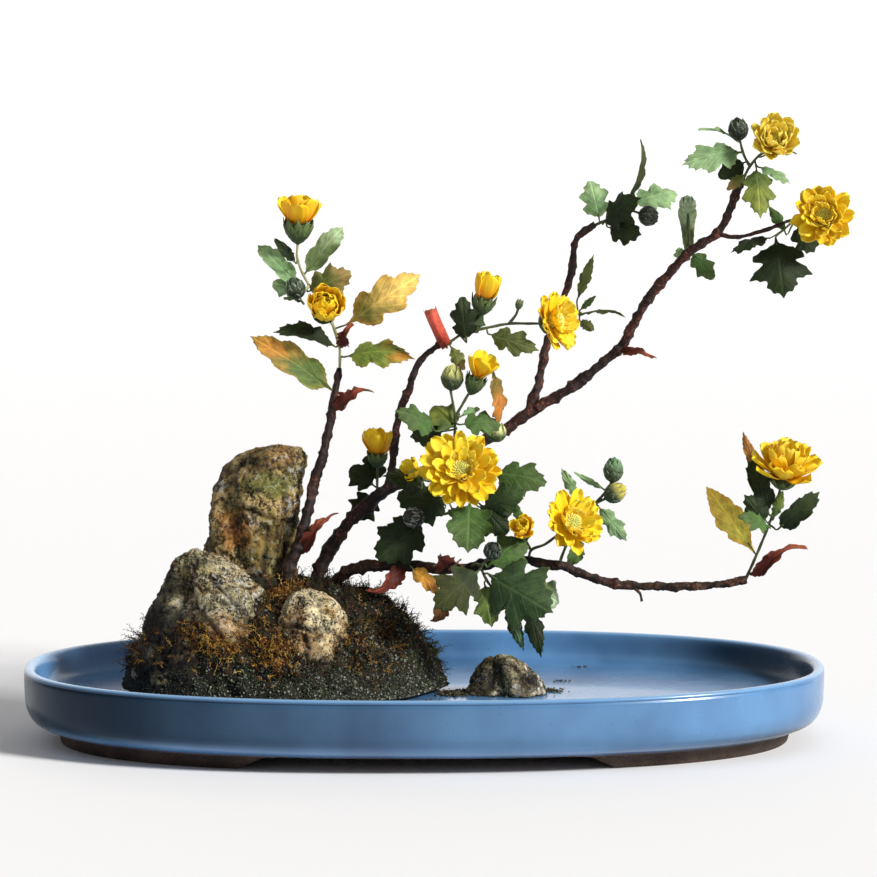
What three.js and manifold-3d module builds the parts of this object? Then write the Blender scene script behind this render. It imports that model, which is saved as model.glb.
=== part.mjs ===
// A chrysanthemum bonsai: four woody stems with yellow blooms, buds and lobed leaves, growing from a
// soil mound between three weathered stones, in a shallow glazed oval tray.
// Millimetres, +Z up. X runs along the tray and Y away from the front. The layout below is measured from
// the middle of the tray's foot. At the end the whole is moved so that the origin is the bottom centre.
import * as THREE from "three";
import { mergeVertices } from "three/addons/utils/BufferGeometryUtils.js";
import Module from "manifold-3d";

const wasm = await Module();
wasm.setup();

// Driving sizes
const TRAY_LENGTH = 340;
const TRAY_WIDTH = 208;
const RIM_HEIGHT = 31.5;
const FLOOR_HEIGHT = 19;
const FOOT_HEIGHT = 6.5;
const OVAL_POWER = 2.31; // 2 is an ellipse; more is squarer
const TRAY_SIDES = 40;
const GAP = 0.3; // between pieces that touch
const SLIVER = 0.01; // joining and cutting leave edges shorter than this, which are closed up
const LEAF_THICKNESS = 0.7;
const PETAL_THICKNESS = 0.7;
const PETAL_LAYER = 0.85; // from one petal to the petal above it, at the roots
const PETIOLE_RADIUS = 0.4;
const STALK_RADIUS = 0.95;
const STALK_SIDES = 4;
const STALK_STEP = 12;
const WOOD_CLEARANCE = 3;

// Colours, as seen on the pieces
const COLOURS = {
  glaze: "#5f88b8",
  stone: "#8c8064",
  soil: "#3a3526",
  bark: "#4a2a20",
  husk: "#8e3f30",
  petal: "#f6bd1a",
  green: "#4c6b45",
  gold: "#b59a3c",
  rust: "#b9762c",
  lemon: "#d9b63a",
};

const vec = (p) => new THREE.Vector3(...p);

// solids

// A closed geometry as a solid, with its shared vertices merged and its empty triangles dropped.
function solidOf(geometry) {
  const bare = geometry.clone();
  for (const name of Object.keys(bare.attributes)) {
    if (name !== "position") bare.deleteAttribute(name);
  }
  const merged = mergeVertices(bare, 1e-4);
  const kept = [];
  const index = merged.index.array;
  for (let i = 0; i < index.length; i += 3) {
    const [a, b, c] = index.slice(i, i + 3);
    if (a !== b && b !== c && a !== c) kept.push(a, b, c);
  }
  const solid = new wasm.Manifold(
    new wasm.Mesh({
      numProp: 3,
      vertProperties: merged.attributes.position.array,
      triVerts: new Uint32Array(kept),
    }),
  );
  if (solid.volume() < 0) throw new Error("a shape is inside out");
  return solid;
}

function geometryOf(solid) {
  const mesh = solid.getMesh();
  return new THREE.BufferGeometry()
    .setAttribute("position", new THREE.BufferAttribute(new Float32Array(mesh.vertProperties), 3))
    .setIndex(new THREE.BufferAttribute(new Uint32Array(mesh.triVerts), 1));
}

// Moves every vertex of a geometry to where place(x, y, z) says.
function reshape(geometry, place) {
  const position = geometry.getAttribute("position");
  for (let i = 0; i < position.count; i++) {
    const p = place(position.getX(i), position.getY(i), position.getZ(i));
    position.setXYZ(i, p.x, p.y, p.z);
  }
  return geometry;
}

// Turns a geometry's +Y to a direction and moves its origin to a point.
function aim(geometry, origin, direction) {
  const turn = new THREE.Quaternion().setFromUnitVectors(
    new THREE.Vector3(0, 1, 0),
    direction.clone().normalize(),
  );
  return geometry.applyQuaternion(turn).translate(origin.x, origin.y, origin.z);
}

const join = (solids) => solids.reduce((whole, solid) => whole.add(solid));

function largest(solid) {
  const bodies = solid.decompose();
  return bodies.reduce((best, body) => (body.volume() > best.volume() ? body : best), bodies[0]);
}

// tray

// The tray's wall from the underside's middle round the foot, wall and lip to the floor's middle, as
// distances in from the outline and heights.
const TRAY_SECTION = [
  [22.5, FOOT_HEIGHT],
  [22, 0],
  [15.3, 0],
  [13.3, 5.7],
  [10.5, 6.2],
  [4, 9.4],
  [0.8, 15],
  [0, 29.3],
  [0.9, 31.1],
  [2.6, RIM_HEIGHT],
  [4.9, 30.6],
  [6.6, 22],
  [11, 19.5],
  [16, FLOOR_HEIGHT],
];

function ovalPoint(angle, inset) {
  const c = Math.cos(angle);
  const s = Math.sin(angle);
  const round = (v) => Math.sign(v) * Math.abs(v) ** (2 / OVAL_POWER);
  return [(TRAY_LENGTH / 2 - inset) * round(c), (TRAY_WIDTH / 2 - inset) * round(s)];
}

function tray() {
  const half = TRAY_LENGTH / 2;
  const profile = [
    new THREE.Vector2(0, FOOT_HEIGHT),
    ...TRAY_SECTION.map(([inset, height]) => new THREE.Vector2(half - inset, height)),
    new THREE.Vector2(0, FLOOR_HEIGHT),
  ];
  const turned = reshape(new THREE.LatheGeometry(profile, TRAY_SIDES), (x, y, z) => {
    const radius = Math.hypot(x, z);
    if (radius < 1) return new THREE.Vector3(0, 0, y);
    const [px, py] = ovalPoint(Math.atan2(-z, x), half - radius);
    return new THREE.Vector3(px, py, y);
  });
  return solidOf(turned).subtract(footArch());
}

// The low arch cut through the foot at front and back, which leaves a foot round each end.
function footArch() {
  const [bottom, top, height] = [77, 65, 6.2];
  const outline = new THREE.Shape([
    new THREE.Vector2(-bottom, -1),
    new THREE.Vector2(bottom, -1),
    new THREE.Vector2(bottom, 0),
    new THREE.Vector2(bottom - 3, 1.8),
    new THREE.Vector2(top + 3, height - 0.8),
    new THREE.Vector2(top - 3, height),
    new THREE.Vector2(3 - top, height),
    new THREE.Vector2(-top - 3, height - 0.8),
    new THREE.Vector2(3 - bottom, 1.8),
    new THREE.Vector2(-bottom, 0),
  ]);
  const block = new THREE.ExtrudeGeometry(outline, { depth: TRAY_WIDTH, bevelEnabled: false });
  return solidOf(block.rotateX(Math.PI / 2).translate(0, TRAY_WIDTH / 2, 0));
}

// stones and soil

// A stone from rings [height, middle x, middle y, half length, half depth], lowest first, with worn
// dents and ribs by a formula.
const STONES = {
  stone_pillar: {
    rings: [
      [46, -74, 15, 20, 16],
      [66, -73, 15, 19.5, 16],
      [80, -73, 15, 19.5, 16],
      [92, -72, 15, 19, 15.5],
      [102, -70, 15.5, 18.5, 14.5],
      [111, -68, 16, 17, 13],
      [118, -65, 16, 13.5, 11],
      [122, -62.5, 16, 8.5, 7],
    ],
    top: [-62, 16, 123.5],
    phase: 0.4,
    dent: 0.085,
  },
  stone_left: {
    rings: [
      [25, -92, -8, 27.5, 21.5],
      [54, -90, -6, 25.5, 19],
      [63, -89, -5, 22.5, 16.5],
      [71, -92, -4, 16, 13],
      [77, -95.5, -3, 9.5, 9],
    ],
    top: [-97.5, -3, 81],
    phase: 2.1,
    dent: 0.1,
  },
  stone_right: {
    rings: [
      [25, -48, -20, 15.5, 12.5],
      [49, -47.5, -19, 15, 12.5],
      [57, -48, -18, 12.5, 10.5],
      [63, -49, -17, 8, 7],
    ],
    top: [-49.5, -17, 65.5],
    phase: 4.4,
    dent: 0.07,
  },
  pebble: {
    rings: [
      [FLOOR_HEIGHT + GAP, 36, -4, 16.5, 12],
      [23.5, 35.5, -4, 15, 11],
      [29.5, 34.5, -4, 11.5, 9],
      [34, 33, -4, 6.5, 5.5],
    ],
    top: [32, -4, 36],
    phase: 3.3,
    dent: 0.1,
  },
};
const STONE_SIDES = 16;

function stone({ rings, top, phase, dent }, grow = 0) {
  const bottom = rings[0][0];
  const profile = [new THREE.Vector2(0, 0)];
  rings.forEach((ring, i) => profile.push(new THREE.Vector2(1, i)));
  profile.push(new THREE.Vector2(0, rings.length));
  return solidOf(
    reshape(new THREE.LatheGeometry(profile, STONE_SIDES), (x, level, z) => {
      const radius = Math.hypot(x, z);
      if (radius < 0.5 && level === 0) {
        return new THREE.Vector3(rings[0][1], rings[0][2], bottom - grow);
      }
      if (radius < 0.5) return new THREE.Vector3(top[0], top[1], top[2] + grow);
      const [height, midX, midY, halfX, halfY] = rings[Math.round(level)];
      const angle = Math.atan2(-z, x);
      const relief =
        1 +
        dent * Math.sin(3 * angle + phase + height * 0.05) +
        dent * 0.7 * Math.sin(5 * angle - phase * 2 + height * 0.11) +
        dent * 0.5 * Math.cos(8 * angle + height * 0.23);
      const lift = level === 0 ? -grow : grow * (level / rings.length);
      return new THREE.Vector3(
        midX + Math.cos(angle) * (halfX * relief + grow),
        midY + Math.sin(angle) * (halfY * relief + grow),
        height + lift,
      );
    }),
  );
}

// The soil: a mound with steep ends, a front that falls away sooner so that the stones stand out of it,
// and a shoulder that carries the stems.
const SOIL = {
  middle: [-60, 1],
  reach: [67, 45],
  height: 45,
  rings: 5,
  sides: 18,
};

function soilHeight(share, angle) {
  const front = Math.max(0, -Math.sin(angle));
  const slope = 1 - share ** (2.8 + 1.7 * Math.cos(angle) ** 2 - 1.2 * front);
  const shoulder = 1 - 0.1 * Math.cos(angle) * share;
  const lumps =
    0.05 * Math.sin(5 * angle + share * 9) + 0.04 * Math.sin(9 * angle - share * 13) * share;
  return SOIL.height * Math.max(0, slope * shoulder + lumps * slope);
}

function soil() {
  const floor = FLOOR_HEIGHT + GAP;
  const rim = 1.2;
  const profile = [new THREE.Vector2(0, -1), new THREE.Vector2(1, -1)];
  for (let i = SOIL.rings; i >= 0; i--) profile.push(new THREE.Vector2(i / SOIL.rings, 0));
  return solidOf(
    reshape(new THREE.LatheGeometry(profile, SOIL.sides), (x, level, z) => {
      const share = Math.min(1, Math.hypot(x, z));
      const angle = Math.atan2(-z, x);
      const edge = 1 + 0.04 * Math.sin(4 * angle + 1) + 0.03 * Math.sin(7 * angle);
      const top = level < -0.5 ? 0 : rim + soilHeight(share, angle);
      return new THREE.Vector3(
        SOIL.middle[0] + Math.cos(angle) * share * SOIL.reach[0] * edge,
        SOIL.middle[1] + Math.sin(angle) * share * SOIL.reach[1] * edge,
        floor + top,
      );
    }),
  );
}

// woody stems

// Each stem: the points it follows, from inside the soil to its end, and its radius at each end.
const STEMS = {
  left: {
    from: 3,
    to: 1.4,
    path: [
      [-60, -3, 48],
      [-58, -3, 64],
      [-57, -3, 74],
      [-53, -1, 83],
      [-50, 3, 94],
      [-47, 7, 107],
      [-43, 11, 120],
      [-40, 14, 134],
      [-38, 17, 145],
      [-36, 20, 156],
    ],
  },
  main: {
    from: 3,
    to: 1.5,
    path: [
      [-49, 2, 47],
      [-47, 3, 62],
      [-43, 6, 74],
      [-38, 9, 83],
      [-32, 11, 91],
      [-25, 13, 97],
      [-18, 14, 103],
      [-9, 15, 108],
      [4, 17, 114],
      [20, 19, 122],
      [34, 20, 129],
      [44, 20, 136],
      [52, 20, 141],
      [61, 19, 146],
      [70, 18, 153],
      [77, 17, 159],
      [84, 16, 165],
      [89, 14, 174],
      [93, 12, 182],
      [98, 10, 190],
      [104, 8, 197],
      [109, 6, 203],
      [116, 4, 209],
      [121, 3, 212],
      [126, 2, 217],
      [128, 0, 222],
      [130, -1, 227],
      [134, -3, 238],
    ],
  },
  side: {
    from: 1.6,
    to: 1.3,
    path: [
      [-16, 14, 105],
      [-14, 14, 112],
      [-13, 13, 119],
      [-12, 12, 127],
      [-11, 11, 135],
      [-9, 10, 142],
      [-6, 9, 149],
      [-4, 8, 156],
      [0, 7, 162],
      [5, 6, 166],
      [9, 5, 168],
    ],
  },
  rise: {
    from: 1.9,
    to: 1.3,
    path: [
      [44, 20, 136],
      [46, 21, 141],
      [49, 23, 148],
      [51, 25, 157],
      [53, 27, 166],
      [57, 29, 176],
      [61, 31, 188],
      [64, 32, 198],
      [65, 33, 208],
      [67, 33, 212],
      [74, 33, 217],
    ],
  },
  twig: {
    from: 0.9,
    to: 0.7,
    path: [
      [125, 2, 214],
      [131, 0, 213],
      [137, -2, 214],
      [146, -4, 217],
      [153, -6, 220],
    ],
  },
  low: {
    from: 2.5,
    to: 1.5,
    path: [
      [-41, 9, 48],
      [-40, 6, 60],
      [-35, 2, 69],
      [-27, -2, 73],
      [-16, -5, 74],
      [-5, -7, 74],
      [8, -9, 73],
      [19, -10, 74],
      [32, -10, 76],
      [43, -9, 77],
      [51, -8, 75],
      [58, -8, 74],
      [69, -9, 70],
      [79, -10, 67],
      [89, -11, 66],
      [101, -12, 66],
      [113, -13, 66],
      [126, -14, 67],
      [136, -14, 69],
    ],
  },
  thorn: {
    from: 0.9,
    to: 0.5,
    path: [
      [88, -11, 66],
      [91, -12, 63],
      [92, -12, 59.5],
    ],
  },
};
const WOOD = {
  stem_left: ["left"],
  stem_main: ["main", "side", "rise", "twig"],
  stem_low: ["low", "thorn"],
};
const BARK_SIDES = 6;
const BARK_STEP = 9.5;

// The smooth curve through a path's points, and the number of steps it is drawn in.
function curveOf(path, step) {
  const curve = new THREE.CatmullRomCurve3(path.map(vec), false, "centripetal");
  return [curve, Math.max(2, Math.round(curve.getLength() / step))];
}

// A round rod bent along a path, with its radius from radiusAt(share along, angle round).
function rod(path, sides, step, radiusAt, grow = 0) {
  const [curve, steps] = curveOf(path, step);
  const frames = curve.computeFrenetFrames(steps, false);
  return solidOf(
    reshape(new THREE.CylinderGeometry(1, 1, 1, sides, steps), (x, y, z) => {
      const share = y + 0.5;
      const i = Math.round(share * steps);
      const onAxis = Math.hypot(x, z) < 0.5;
      const radius = onAxis ? 0 : radiusAt(share, Math.atan2(z, x)) + grow;
      const end = i === 0 ? -grow : i === steps ? grow : 0;
      return curve
        .getPointAt(share)
        .addScaledVector(frames.normals[i], x * radius)
        .addScaledVector(frames.binormals[i], -z * radius)
        .addScaledVector(frames.tangents[i], end);
    }),
  );
}

function woodyStem({ path, from, to }, grow) {
  const bark = (share, angle) =>
    THREE.MathUtils.lerp(from, to, share) *
    (1 + 0.08 * Math.sin(share * path.length * 2.4) + 0.07 * Math.sin(3 * angle + share * 40));
  return rod(path, BARK_SIDES, BARK_STEP, bark, grow);
}

// leaves

// Half outlines, base to tip, as [share of the length, share of the half width].
const FORMS = {
  lobed: [
    [0.16, 0.16],
    [0.34, 1],
    [0.45, 0.7],
    [0.64, 1.2],
    [0.8, 0.62],
  ],
  narrow: [
    [0.15, 0.35],
    [0.48, 1.1],
    [0.7, 0.8],
  ],
};
const RIB = 0.45; // where the fold along the midrib begins
const FACES = {
  front: [0, -1, 0.15],
  upfront: [0, -0.75, 0.65],
  up: [0, -0.3, 1],
  right: [0.8, -0.6, 0.1],
  left: [-0.8, -0.6, 0.1],
};
const ARCH = 0.1; // how far a blade rises along its length, as a share of it
const FOLD = 0.28; // how far the edges fall from the rib, as a share of the half width

// The part of v that is square to a unit axis, as a unit vector, or null if it has next to none.
function squareTo(axis, v) {
  const rest = v.clone().addScaledVector(axis, -v.dot(axis));
  return rest.length() > 0.2 * v.length() ? rest.normalize() : null;
}

// A lobed blade of even thickness on a petiole from start, arched along its rib and folded down on
// both sides of it.
function blade([, base, tip, width, form, face], start, grow = 0) {
  const root = vec(base);
  const axis = vec(tip).sub(root);
  const length = axis.length();
  axis.normalize();
  const normal = squareTo(axis, vec(FACES[face])) ?? squareTo(axis, new THREE.Vector3(0, -1, 1));
  const side = axis.clone().cross(normal);
  const half = width / 2 + grow;
  const petiole = root.clone().sub(start);
  if (petiole.length() < 1) petiole.copy(axis);
  petiole.normalize();
  // Where the petiole comes from the side, it keeps the blade's upper face up, and else its side.
  const fromSide = Math.abs(petiole.dot(side)) > Math.abs(petiole.dot(normal));
  const stalkSide = fromSide
    ? petiole.clone().cross(squareTo(petiole, normal))
    : squareTo(petiole, side);
  const stalkNormal = stalkSide.clone().cross(petiole);
  const thin = PETIOLE_RADIUS + grow;

  // Each point: its place on the leaf, the way the upper face lies from it, and how far.
  const onStalk = (t) => [start.clone().addScaledVector(stalkSide, t * thin), stalkNormal, thin];
  const onBlade = ([s, t]) => [
    root
      .clone()
      .addScaledVector(axis, s * (length + grow))
      .addScaledVector(side, t * half)
      .addScaledVector(normal, ARCH * length * 4 * s * (1 - s) - FOLD * Math.abs(t) * half),
    normal,
    LEAF_THICKNESS / 2 + grow,
  ];
  const edge = FORMS[form];
  const plan = [
    [-0.3, 0.08],
    ...edge,
    [1, 0],
    ...edge.map(([s, t]) => [s, -t]).toReversed(),
    [-0.3, -0.08],
    [RIB, 0],
  ];
  const points = plan.map((p) => (p[0] < 0 ? onStalk(Math.sign(p[1])) : onBlade(p)));
  const rib = plan.length - 1;
  const outline = plan.keys().take(rib).toArray();
  const [lastRight, tipPoint, firstLeft] = [edge.length, edge.length + 1, edge.length + 2];
  const faces = [];
  for (const ring of [
    [0, 1, 2 * edge.length + 1, 2 * edge.length + 2],
    [1, rib, 2 * edge.length + 1],
    [...outline.slice(1, lastRight + 1), tipPoint, rib],
    [tipPoint, ...outline.slice(firstLeft, 2 * edge.length + 2), rib],
  ]) {
    const contour = ring.map((i) => new THREE.Vector2(plan[i][1] * width, plan[i][0] * length));
    for (const face of THREE.ShapeUtils.triangulateShape(contour, [])) {
      faces.push(face.map((i) => ring[i]));
    }
  }
  const count = points.length;
  const position = [];
  for (const way of [1, -1]) {
    for (const [point, up, depth] of points) {
      position.push(...point.clone().addScaledVector(up, way * depth));
    }
  }
  const index = [];
  for (const [a, b, c] of faces) index.push(a, b, c, count + a, count + c, count + b);
  outline.forEach((a, i) => {
    const b = outline[(i + 1) % outline.length];
    index.push(a, count + a, count + b, a, count + b, b);
  });
  const geometry = new THREE.BufferGeometry()
    .setAttribute("position", new THREE.Float32BufferAttribute(position, 3))
    .setIndex(index);
  return solidOf(geometry);
}

// The leaves of each node: [what it is, base, tip, width, form, the way its upper face looks].
const LEAVES = {
  spray_left: [
    ["upper left", [-53.5, 22, 191], [-71, 28, 208.5], 11, "lobed", "front"],
    ["small left", [-52, 23, 189], [-65.5, 27, 192], 8, "lobed", "front"],
    ["sliver", [-54.5, 18, 201], [-63.5, 12, 212], 6, "narrow", "front"],
    ["upper right", [-51.5, 24, 195.5], [-34.5, 34, 216], 12, "lobed", "front"],
    ["right", [-50, 24, 188.5], [-30.5, 18, 197], 12.5, "lobed", "front"],
    ["under the bud", [-51, 14, 184], [-60, 6, 187], 4, "narrow", "up"],
    ["folded", [-37.5, 15, 164], [-62, 5, 171.5], 11, "lobed", "upfront"],
    ["orange-tipped", [-34, 18, 160.5], [-5.5, 8, 161], 13, "lobed", "upfront"],
  ],
  leaf_gold: [["gold", [-33, 16, 175], [-2, 12, 196.5], 17, "lobed", "front"]],
  leaf_rust: [["rust", [-38.7, 17, 146.5], [-73, 8, 170.5], 15, "lobed", "front"]],
  spray_high: [
    ["left of the bud", [18, 6, 168], [16, 2, 188], 10, "lobed", "front"],
    ["right of the bud", [17, 8, 171], [25, 15, 181], 8, "lobed", "front"],
    ["hanging", [27, 4, 172], [48, -5, 165.5], 9.5, "lobed", "front"],
    ["under the husk", [11, 2, 167], [17, -4, 157], 6, "narrow", "front"],
  ],
  leaf_brown: [["brown", [29, 4, 156], [32, 0, 134], 10, "lobed", "right"]],
  spray_wing: [
    ["left", [5, -8, 131.5], [-12, -16, 141], 12, "lobed", "upfront"],
    ["middle", [14, -2, 132], [3, 3, 141], 13, "lobed", "upfront"],
    ["right", [15, -5, 134], [33, 0, 134], 11, "lobed", "upfront"],
    ["thin", [15, -2, 137], [24, 8, 140], 4, "narrow", "upfront"],
    ["dark", [9, -2, 131], [-6, 4, 128], 9, "lobed", "front"],
  ],
  spray_back: [
    ["under the bud", [-21, 21, 105], [-32, 25, 113], 11, "lobed", "front"],
    ["behind the bud", [-20, 24, 106], [-22, 29, 122], 9, "lobed", "front"],
    ["left", [-21, 23, 102], [-30, 26, 90], 12, "lobed", "front"],
  ],
  bud_middle: [],
  spray_front: [
    ["right high", [29, -5, 113], [51.5, -14, 110], 15, "lobed", "upfront"],
    ["right low", [24, -8, 99], [42, -17, 107], 12, "lobed", "front"],
    ["left middle", [-1, 3, 106], [-17, -8, 113], 10, "lobed", "upfront"],
    ["below the bloom", [19, -14, 102], [18, -27, 83], 22, "lobed", "front"],
    ["lower left", [0, -4, 93], [-20.5, -12, 77], 18, "lobed", "front"],
    ["behind low", [0, 4, 92], [-19, 7, 82], 10, "lobed", "front"],
    ["behind the striped bud", [9, 3, 99], [-12, 7, 103], 16, "lobed", "front"],
    ["under the bloom left", [9, -5, 104], [-6, -7, 93], 12, "lobed", "front"],
    ["under the bloom right", [23, -9, 101], [35, -13, 88], 13, "lobed", "front"],
  ],
  spray_low: [
    ["left", [23, -26, 75], [4, -36, 60], 17, "lobed", "front"],
    ["big", [26, -24, 73], [53, -34, 58], 25, "lobed", "front"],
    ["down", [25, -22, 69], [28, -27, 51], 11, "lobed", "front"],
    ["up", [26, -23, 75.5], [43, -17, 87], 16, "lobed", "upfront"],
    ["drop left", [33, -17, 61], [42, -16, 39], 6, "narrow", "front"],
    ["drop right", [43, -15, 62], [49, -20, 37], 8, "narrow", "front"],
    ["pale", [43, -10, 66], [58, 1, 57], 13, "lobed", "front"],
  ],
  spray_pair: [["pointed", [42, -7, 88], [38, 4, 101], 4, "narrow", "front"]],
  leaf_amber: [["amber", [-6, -12, 74.5], [7, -14, 63], 8, "lobed", "front"]],
  leaf_umber: [["umber", [9, -14, 64.5], [4, -13, 50], 9, "lobed", "front"]],
  spray_right: [
    ["pointed", [67, 12, 98], [59, 20, 113], 5, "narrow", "front"],
    ["curl", [78, 12, 104], [66, 20, 110], 3, "narrow", "front"],
    ["right", [74, 10, 98], [87, 14, 82], 7, "lobed", "front"],
    ["below the bloom", [68, 4, 82], [61, 0, 73], 8, "narrow", "front"],
  ],
  spray_head: [
    ["left", [134, -6, 249], [108, -16, 244], 13, "lobed", "upfront"],
    ["folded", [133, 2, 253], [115, -2, 259], 4, "narrow", "up"],
    ["dark", [136, 0, 245], [124, 2, 238], 8, "lobed", "front"],
    ["down", [139, -12, 243], [140, -24, 223], 12, "lobed", "front"],
    ["arched", [140, -9, 243], [153, -16, 236], 8, "lobed", "up"],
    ["right", [142, -4, 247], [158, 4, 249], 7, "lobed", "up"],
    ["brownish", [135, -6, 240], [127, -9, 233], 5, "narrow", "front"],
  ],
  spray_tip: [
    ["skirt", [148, -5, 213], [151, -14, 189], 22, "lobed", "front"],
    ["skirt left", [146, -5, 213], [129, -10, 207], 9, "lobed", "up"],
    ["small", [153, -3, 214], [146, 4, 226], 5, "narrow", "front"],
    ["behind", [157, 0, 219], [166, 6, 206], 11, "lobed", "front"],
  ],
  spray_fork: [
    ["pale left", [76, 35, 218], [72, 41, 236], 11, "lobed", "front"],
    ["dark", [77, 31, 217], [92, 23, 229], 15, "lobed", "upfront"],
    ["tall", [86, 31, 224], [95, 33, 254], 6, "narrow", "right"],
    ["pale right", [90, 35, 225], [110, 44, 230], 13, "lobed", "upfront"],
    ["low", [79, 30, 216], [93, 23, 213], 11, "lobed", "front"],
  ],
  spray_roll: [
    ["funnel", [113, 18, 207], [112, 16, 227], 13, "lobed", "front"],
    ["low", [114, 18, 206], [124, 16, 194], 8, "lobed", "front"],
    ["small", [113, 20, 206], [107, 25, 204], 5, "narrow", "front"],
  ],
  spray_sprig: [
    ["up", [66, 30, 184], [73, 28, 204], 5, "narrow", "front"],
    ["middle", [67, 28, 180], [74, 24, 187], 3, "narrow", "front"],
    ["right", [67, 28, 178], [86, 20, 179], 6, "narrow", "up"],
    ["low", [67, 27, 176], [73, 20, 172], 5, "narrow", "front"],
  ],
  leaf_lemon: [["lemon", [140, -12, 79.5], [119.5, -4, 107.5], 12.5, "narrow", "front"]],
  spray_end: [
    ["tall", [145, -20, 97], [137, -15, 120], 12, "lobed", "front"],
    ["small", [144, -22, 94], [134, -25, 106], 8, "lobed", "front"],
    ["front", [145, -24, 92], [131, -32, 98], 9, "lobed", "upfront"],
    ["right", [148, -22, 91], [165, -26, 107], 12, "lobed", "front"],
    ["behind the bloom", [146, -10, 104], [134.5, 2, 131], 6, "narrow", "front"],
    ["sheath", [146.5, -20, 95], [150.5, -20, 107.5], 5, "narrow", "front"],
  ],
  husk_left: [["husk", [-37, 13, 140], [-22, 8, 149], 10, "narrow", "front"]],
  husk_top: [["husk", [-33, 15, 165], [-31, 11, 176.5], 9, "narrow", "front"]],
  husk_high: [["husk", [11, 1, 164], [1.5, -2, 183], 11, "narrow", "front"]],
  husk_main: [["husk", [84, 12, 164], [99, 8, 161], 6, "narrow", "front"]],
  husk_end: [["husk", [140, -17, 70], [160, -22, 86], 9, "narrow", "front"]],
  husk_low: [["husk", [-9, -10, 71], [-23, -15, 63], 12, "narrow", "front"]],
  husk_knot: [["husk", [10, -12, 71], [8, -17, 82], 14, "narrow", "front"]],
  husk_base: [["husk", [-51, -2, 78], [-37, -4, 98], 9, "narrow", "front"]],
};

// The green stalks of each node, from inside the wood that carries them.
const STALKS = {
  spray_left: [
    [[-36, 20, 155], [-36, 19, 165], [-38.5, 17, 174], [-42.6, 14.4, 179.4]],
    [[-36, 19, 165], [-41, 22, 180], [-50, 24, 193], [-54, 23, 203], [-53.5, 21, 212]],
    [[-49, 24, 191], [-52, 19, 188], [-53, 16, 187]],
  ],
  spray_high: [
    [[9, 5, 167], [16, 7, 172], [22, 8, 180], [24.5, 8, 184]],
    [[16, 7, 172], [25, 5, 174], [36, 6, 176], [44.5, 7, 176], [49.8, 6.8, 176]],
    [[36, 6, 176], [39, 5, 180], [40, 4, 183]],
  ],
  spray_wing: [
    [[14, 18, 120], [13, 6, 126], [13, -2, 133], [13, -3, 137], [11, -3, 149]],
    [[13, -3, 137], [17, -3, 144], [20, -3, 149]],
  ],
  spray_back: [[[-20, 14, 102], [-20, 22, 105], [-20, 21, 115]]],
  bud_middle: [[[34, 20, 129], [31, 11, 126], [30, 6, 127]]],
  spray_front: [
    [[4, 17, 114], [9, 6, 113], [14, -6, 114], [15.2, -15.4, 112.8]],
    [[14, -6, 114], [18, -9, 106], [13, -7, 98], [3, -5, 95], [-2, -10, 94.8]],
    [[13, -3, 114], [22, -4.5, 112], [30, -4, 115]],
    [[9, 6, 113], [3, 7, 109], [-3, 4, 110.4]],
  ],
  spray_low: [
    [[19, -10, 74], [22, -16, 76], [23, -20, 75.6], [29, -19, 66], [43, -13, 65]],
    [[23, -20, 75.6], [26, -24, 78.5], [28, -27, 82]],
  ],
  spray_pair: [
    [[44, -9, 76], [45, -10, 81], [51, -9, 83.5], [58, -7, 88.6]],
    [[45, -10, 81], [41.4, -15, 88]],
  ],
  spray_right: [
    [[57, -8, 75], [61, 1, 83], [68, 8, 94], [74, 10, 99], [78, 10, 101]],
    [[73, 10, 98], [78, 12, 104], [80.5, 13, 108]],
  ],
  spray_head: [
    [[134, -3, 237], [137, -5, 243], [140, -7, 247], [144.5, -8.6, 250.4]],
    [[137, -5, 243], [134.5, -3, 248], [133, -2, 254]],
  ],
  spray_tip: [[[152, -6, 219.7], [158, -6.5, 221], [167.8, -7.6, 220.6]]],
  spray_fork: [
    [[74, 33, 216.7], [81, 32, 220], [88, 32, 225]],
    [[86, 32, 223.6], [91, 29, 222.5], [94, 27, 221.4]],
  ],
  spray_roll: [
    [[112, 5, 205.5], [113, 12, 206], [113, 18, 207]],
    [[113, 12, 206], [112.8, 14, 215], [112.5, 15, 223]],
  ],
  spray_sprig: [[[58, 29, 178], [63, 29, 178.5], [68, 28.5, 179]]],
  spray_end: [
    [[135.5, -14, 68.8], [139, -15, 77], [143, -16, 87], [146.6, -17, 97], [149.9, -16.8, 108.4]],
  ],
};

// Buds: [node, foot, direction, radius, height].
const BUDS = [
  ["spray_left", [-53, 16, 186], [-0.35, -0.3, 0.9], 4.3, 10.5],
  ["spray_high", [39.6, 4.4, 182], [0.3, 0, 1], 1.5, 5],
  ["spray_wing", [11.2, -3, 148], [0.1, -0.1, 1], 4.7, 12],
  ["bud_middle", [30, 6, 125.5], [0.15, -0.3, 1], 4.3, 9.5],
  ["spray_front", [-1, -9, 94.8], [-0.7, -0.7, 0.15], 4.4, 10.5],
  ["spray_low", [27.6, -26.5, 81], [0.15, -0.8, 0.55], 3.8, 8.5],
  ["spray_right", [80.5, 13, 107], [0.1, 0.1, 1], 4.2, 11.5],
  ["spray_right", [77, 10, 100.5], [0.8, -0.1, 0.5], 4.2, 11],
  ["spray_head", [133, -2, 253.5], [-0.15, -0.1, 1], 4.2, 10.5],
  ["spray_fork", [92.5, 28, 221.8], [0.8, -0.5, -0.2], 4.3, 9.5],
  ["spray_roll", [112.5, 15, 222], [-0.05, -0.15, 1], 3.6, 8.5],
];

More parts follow.
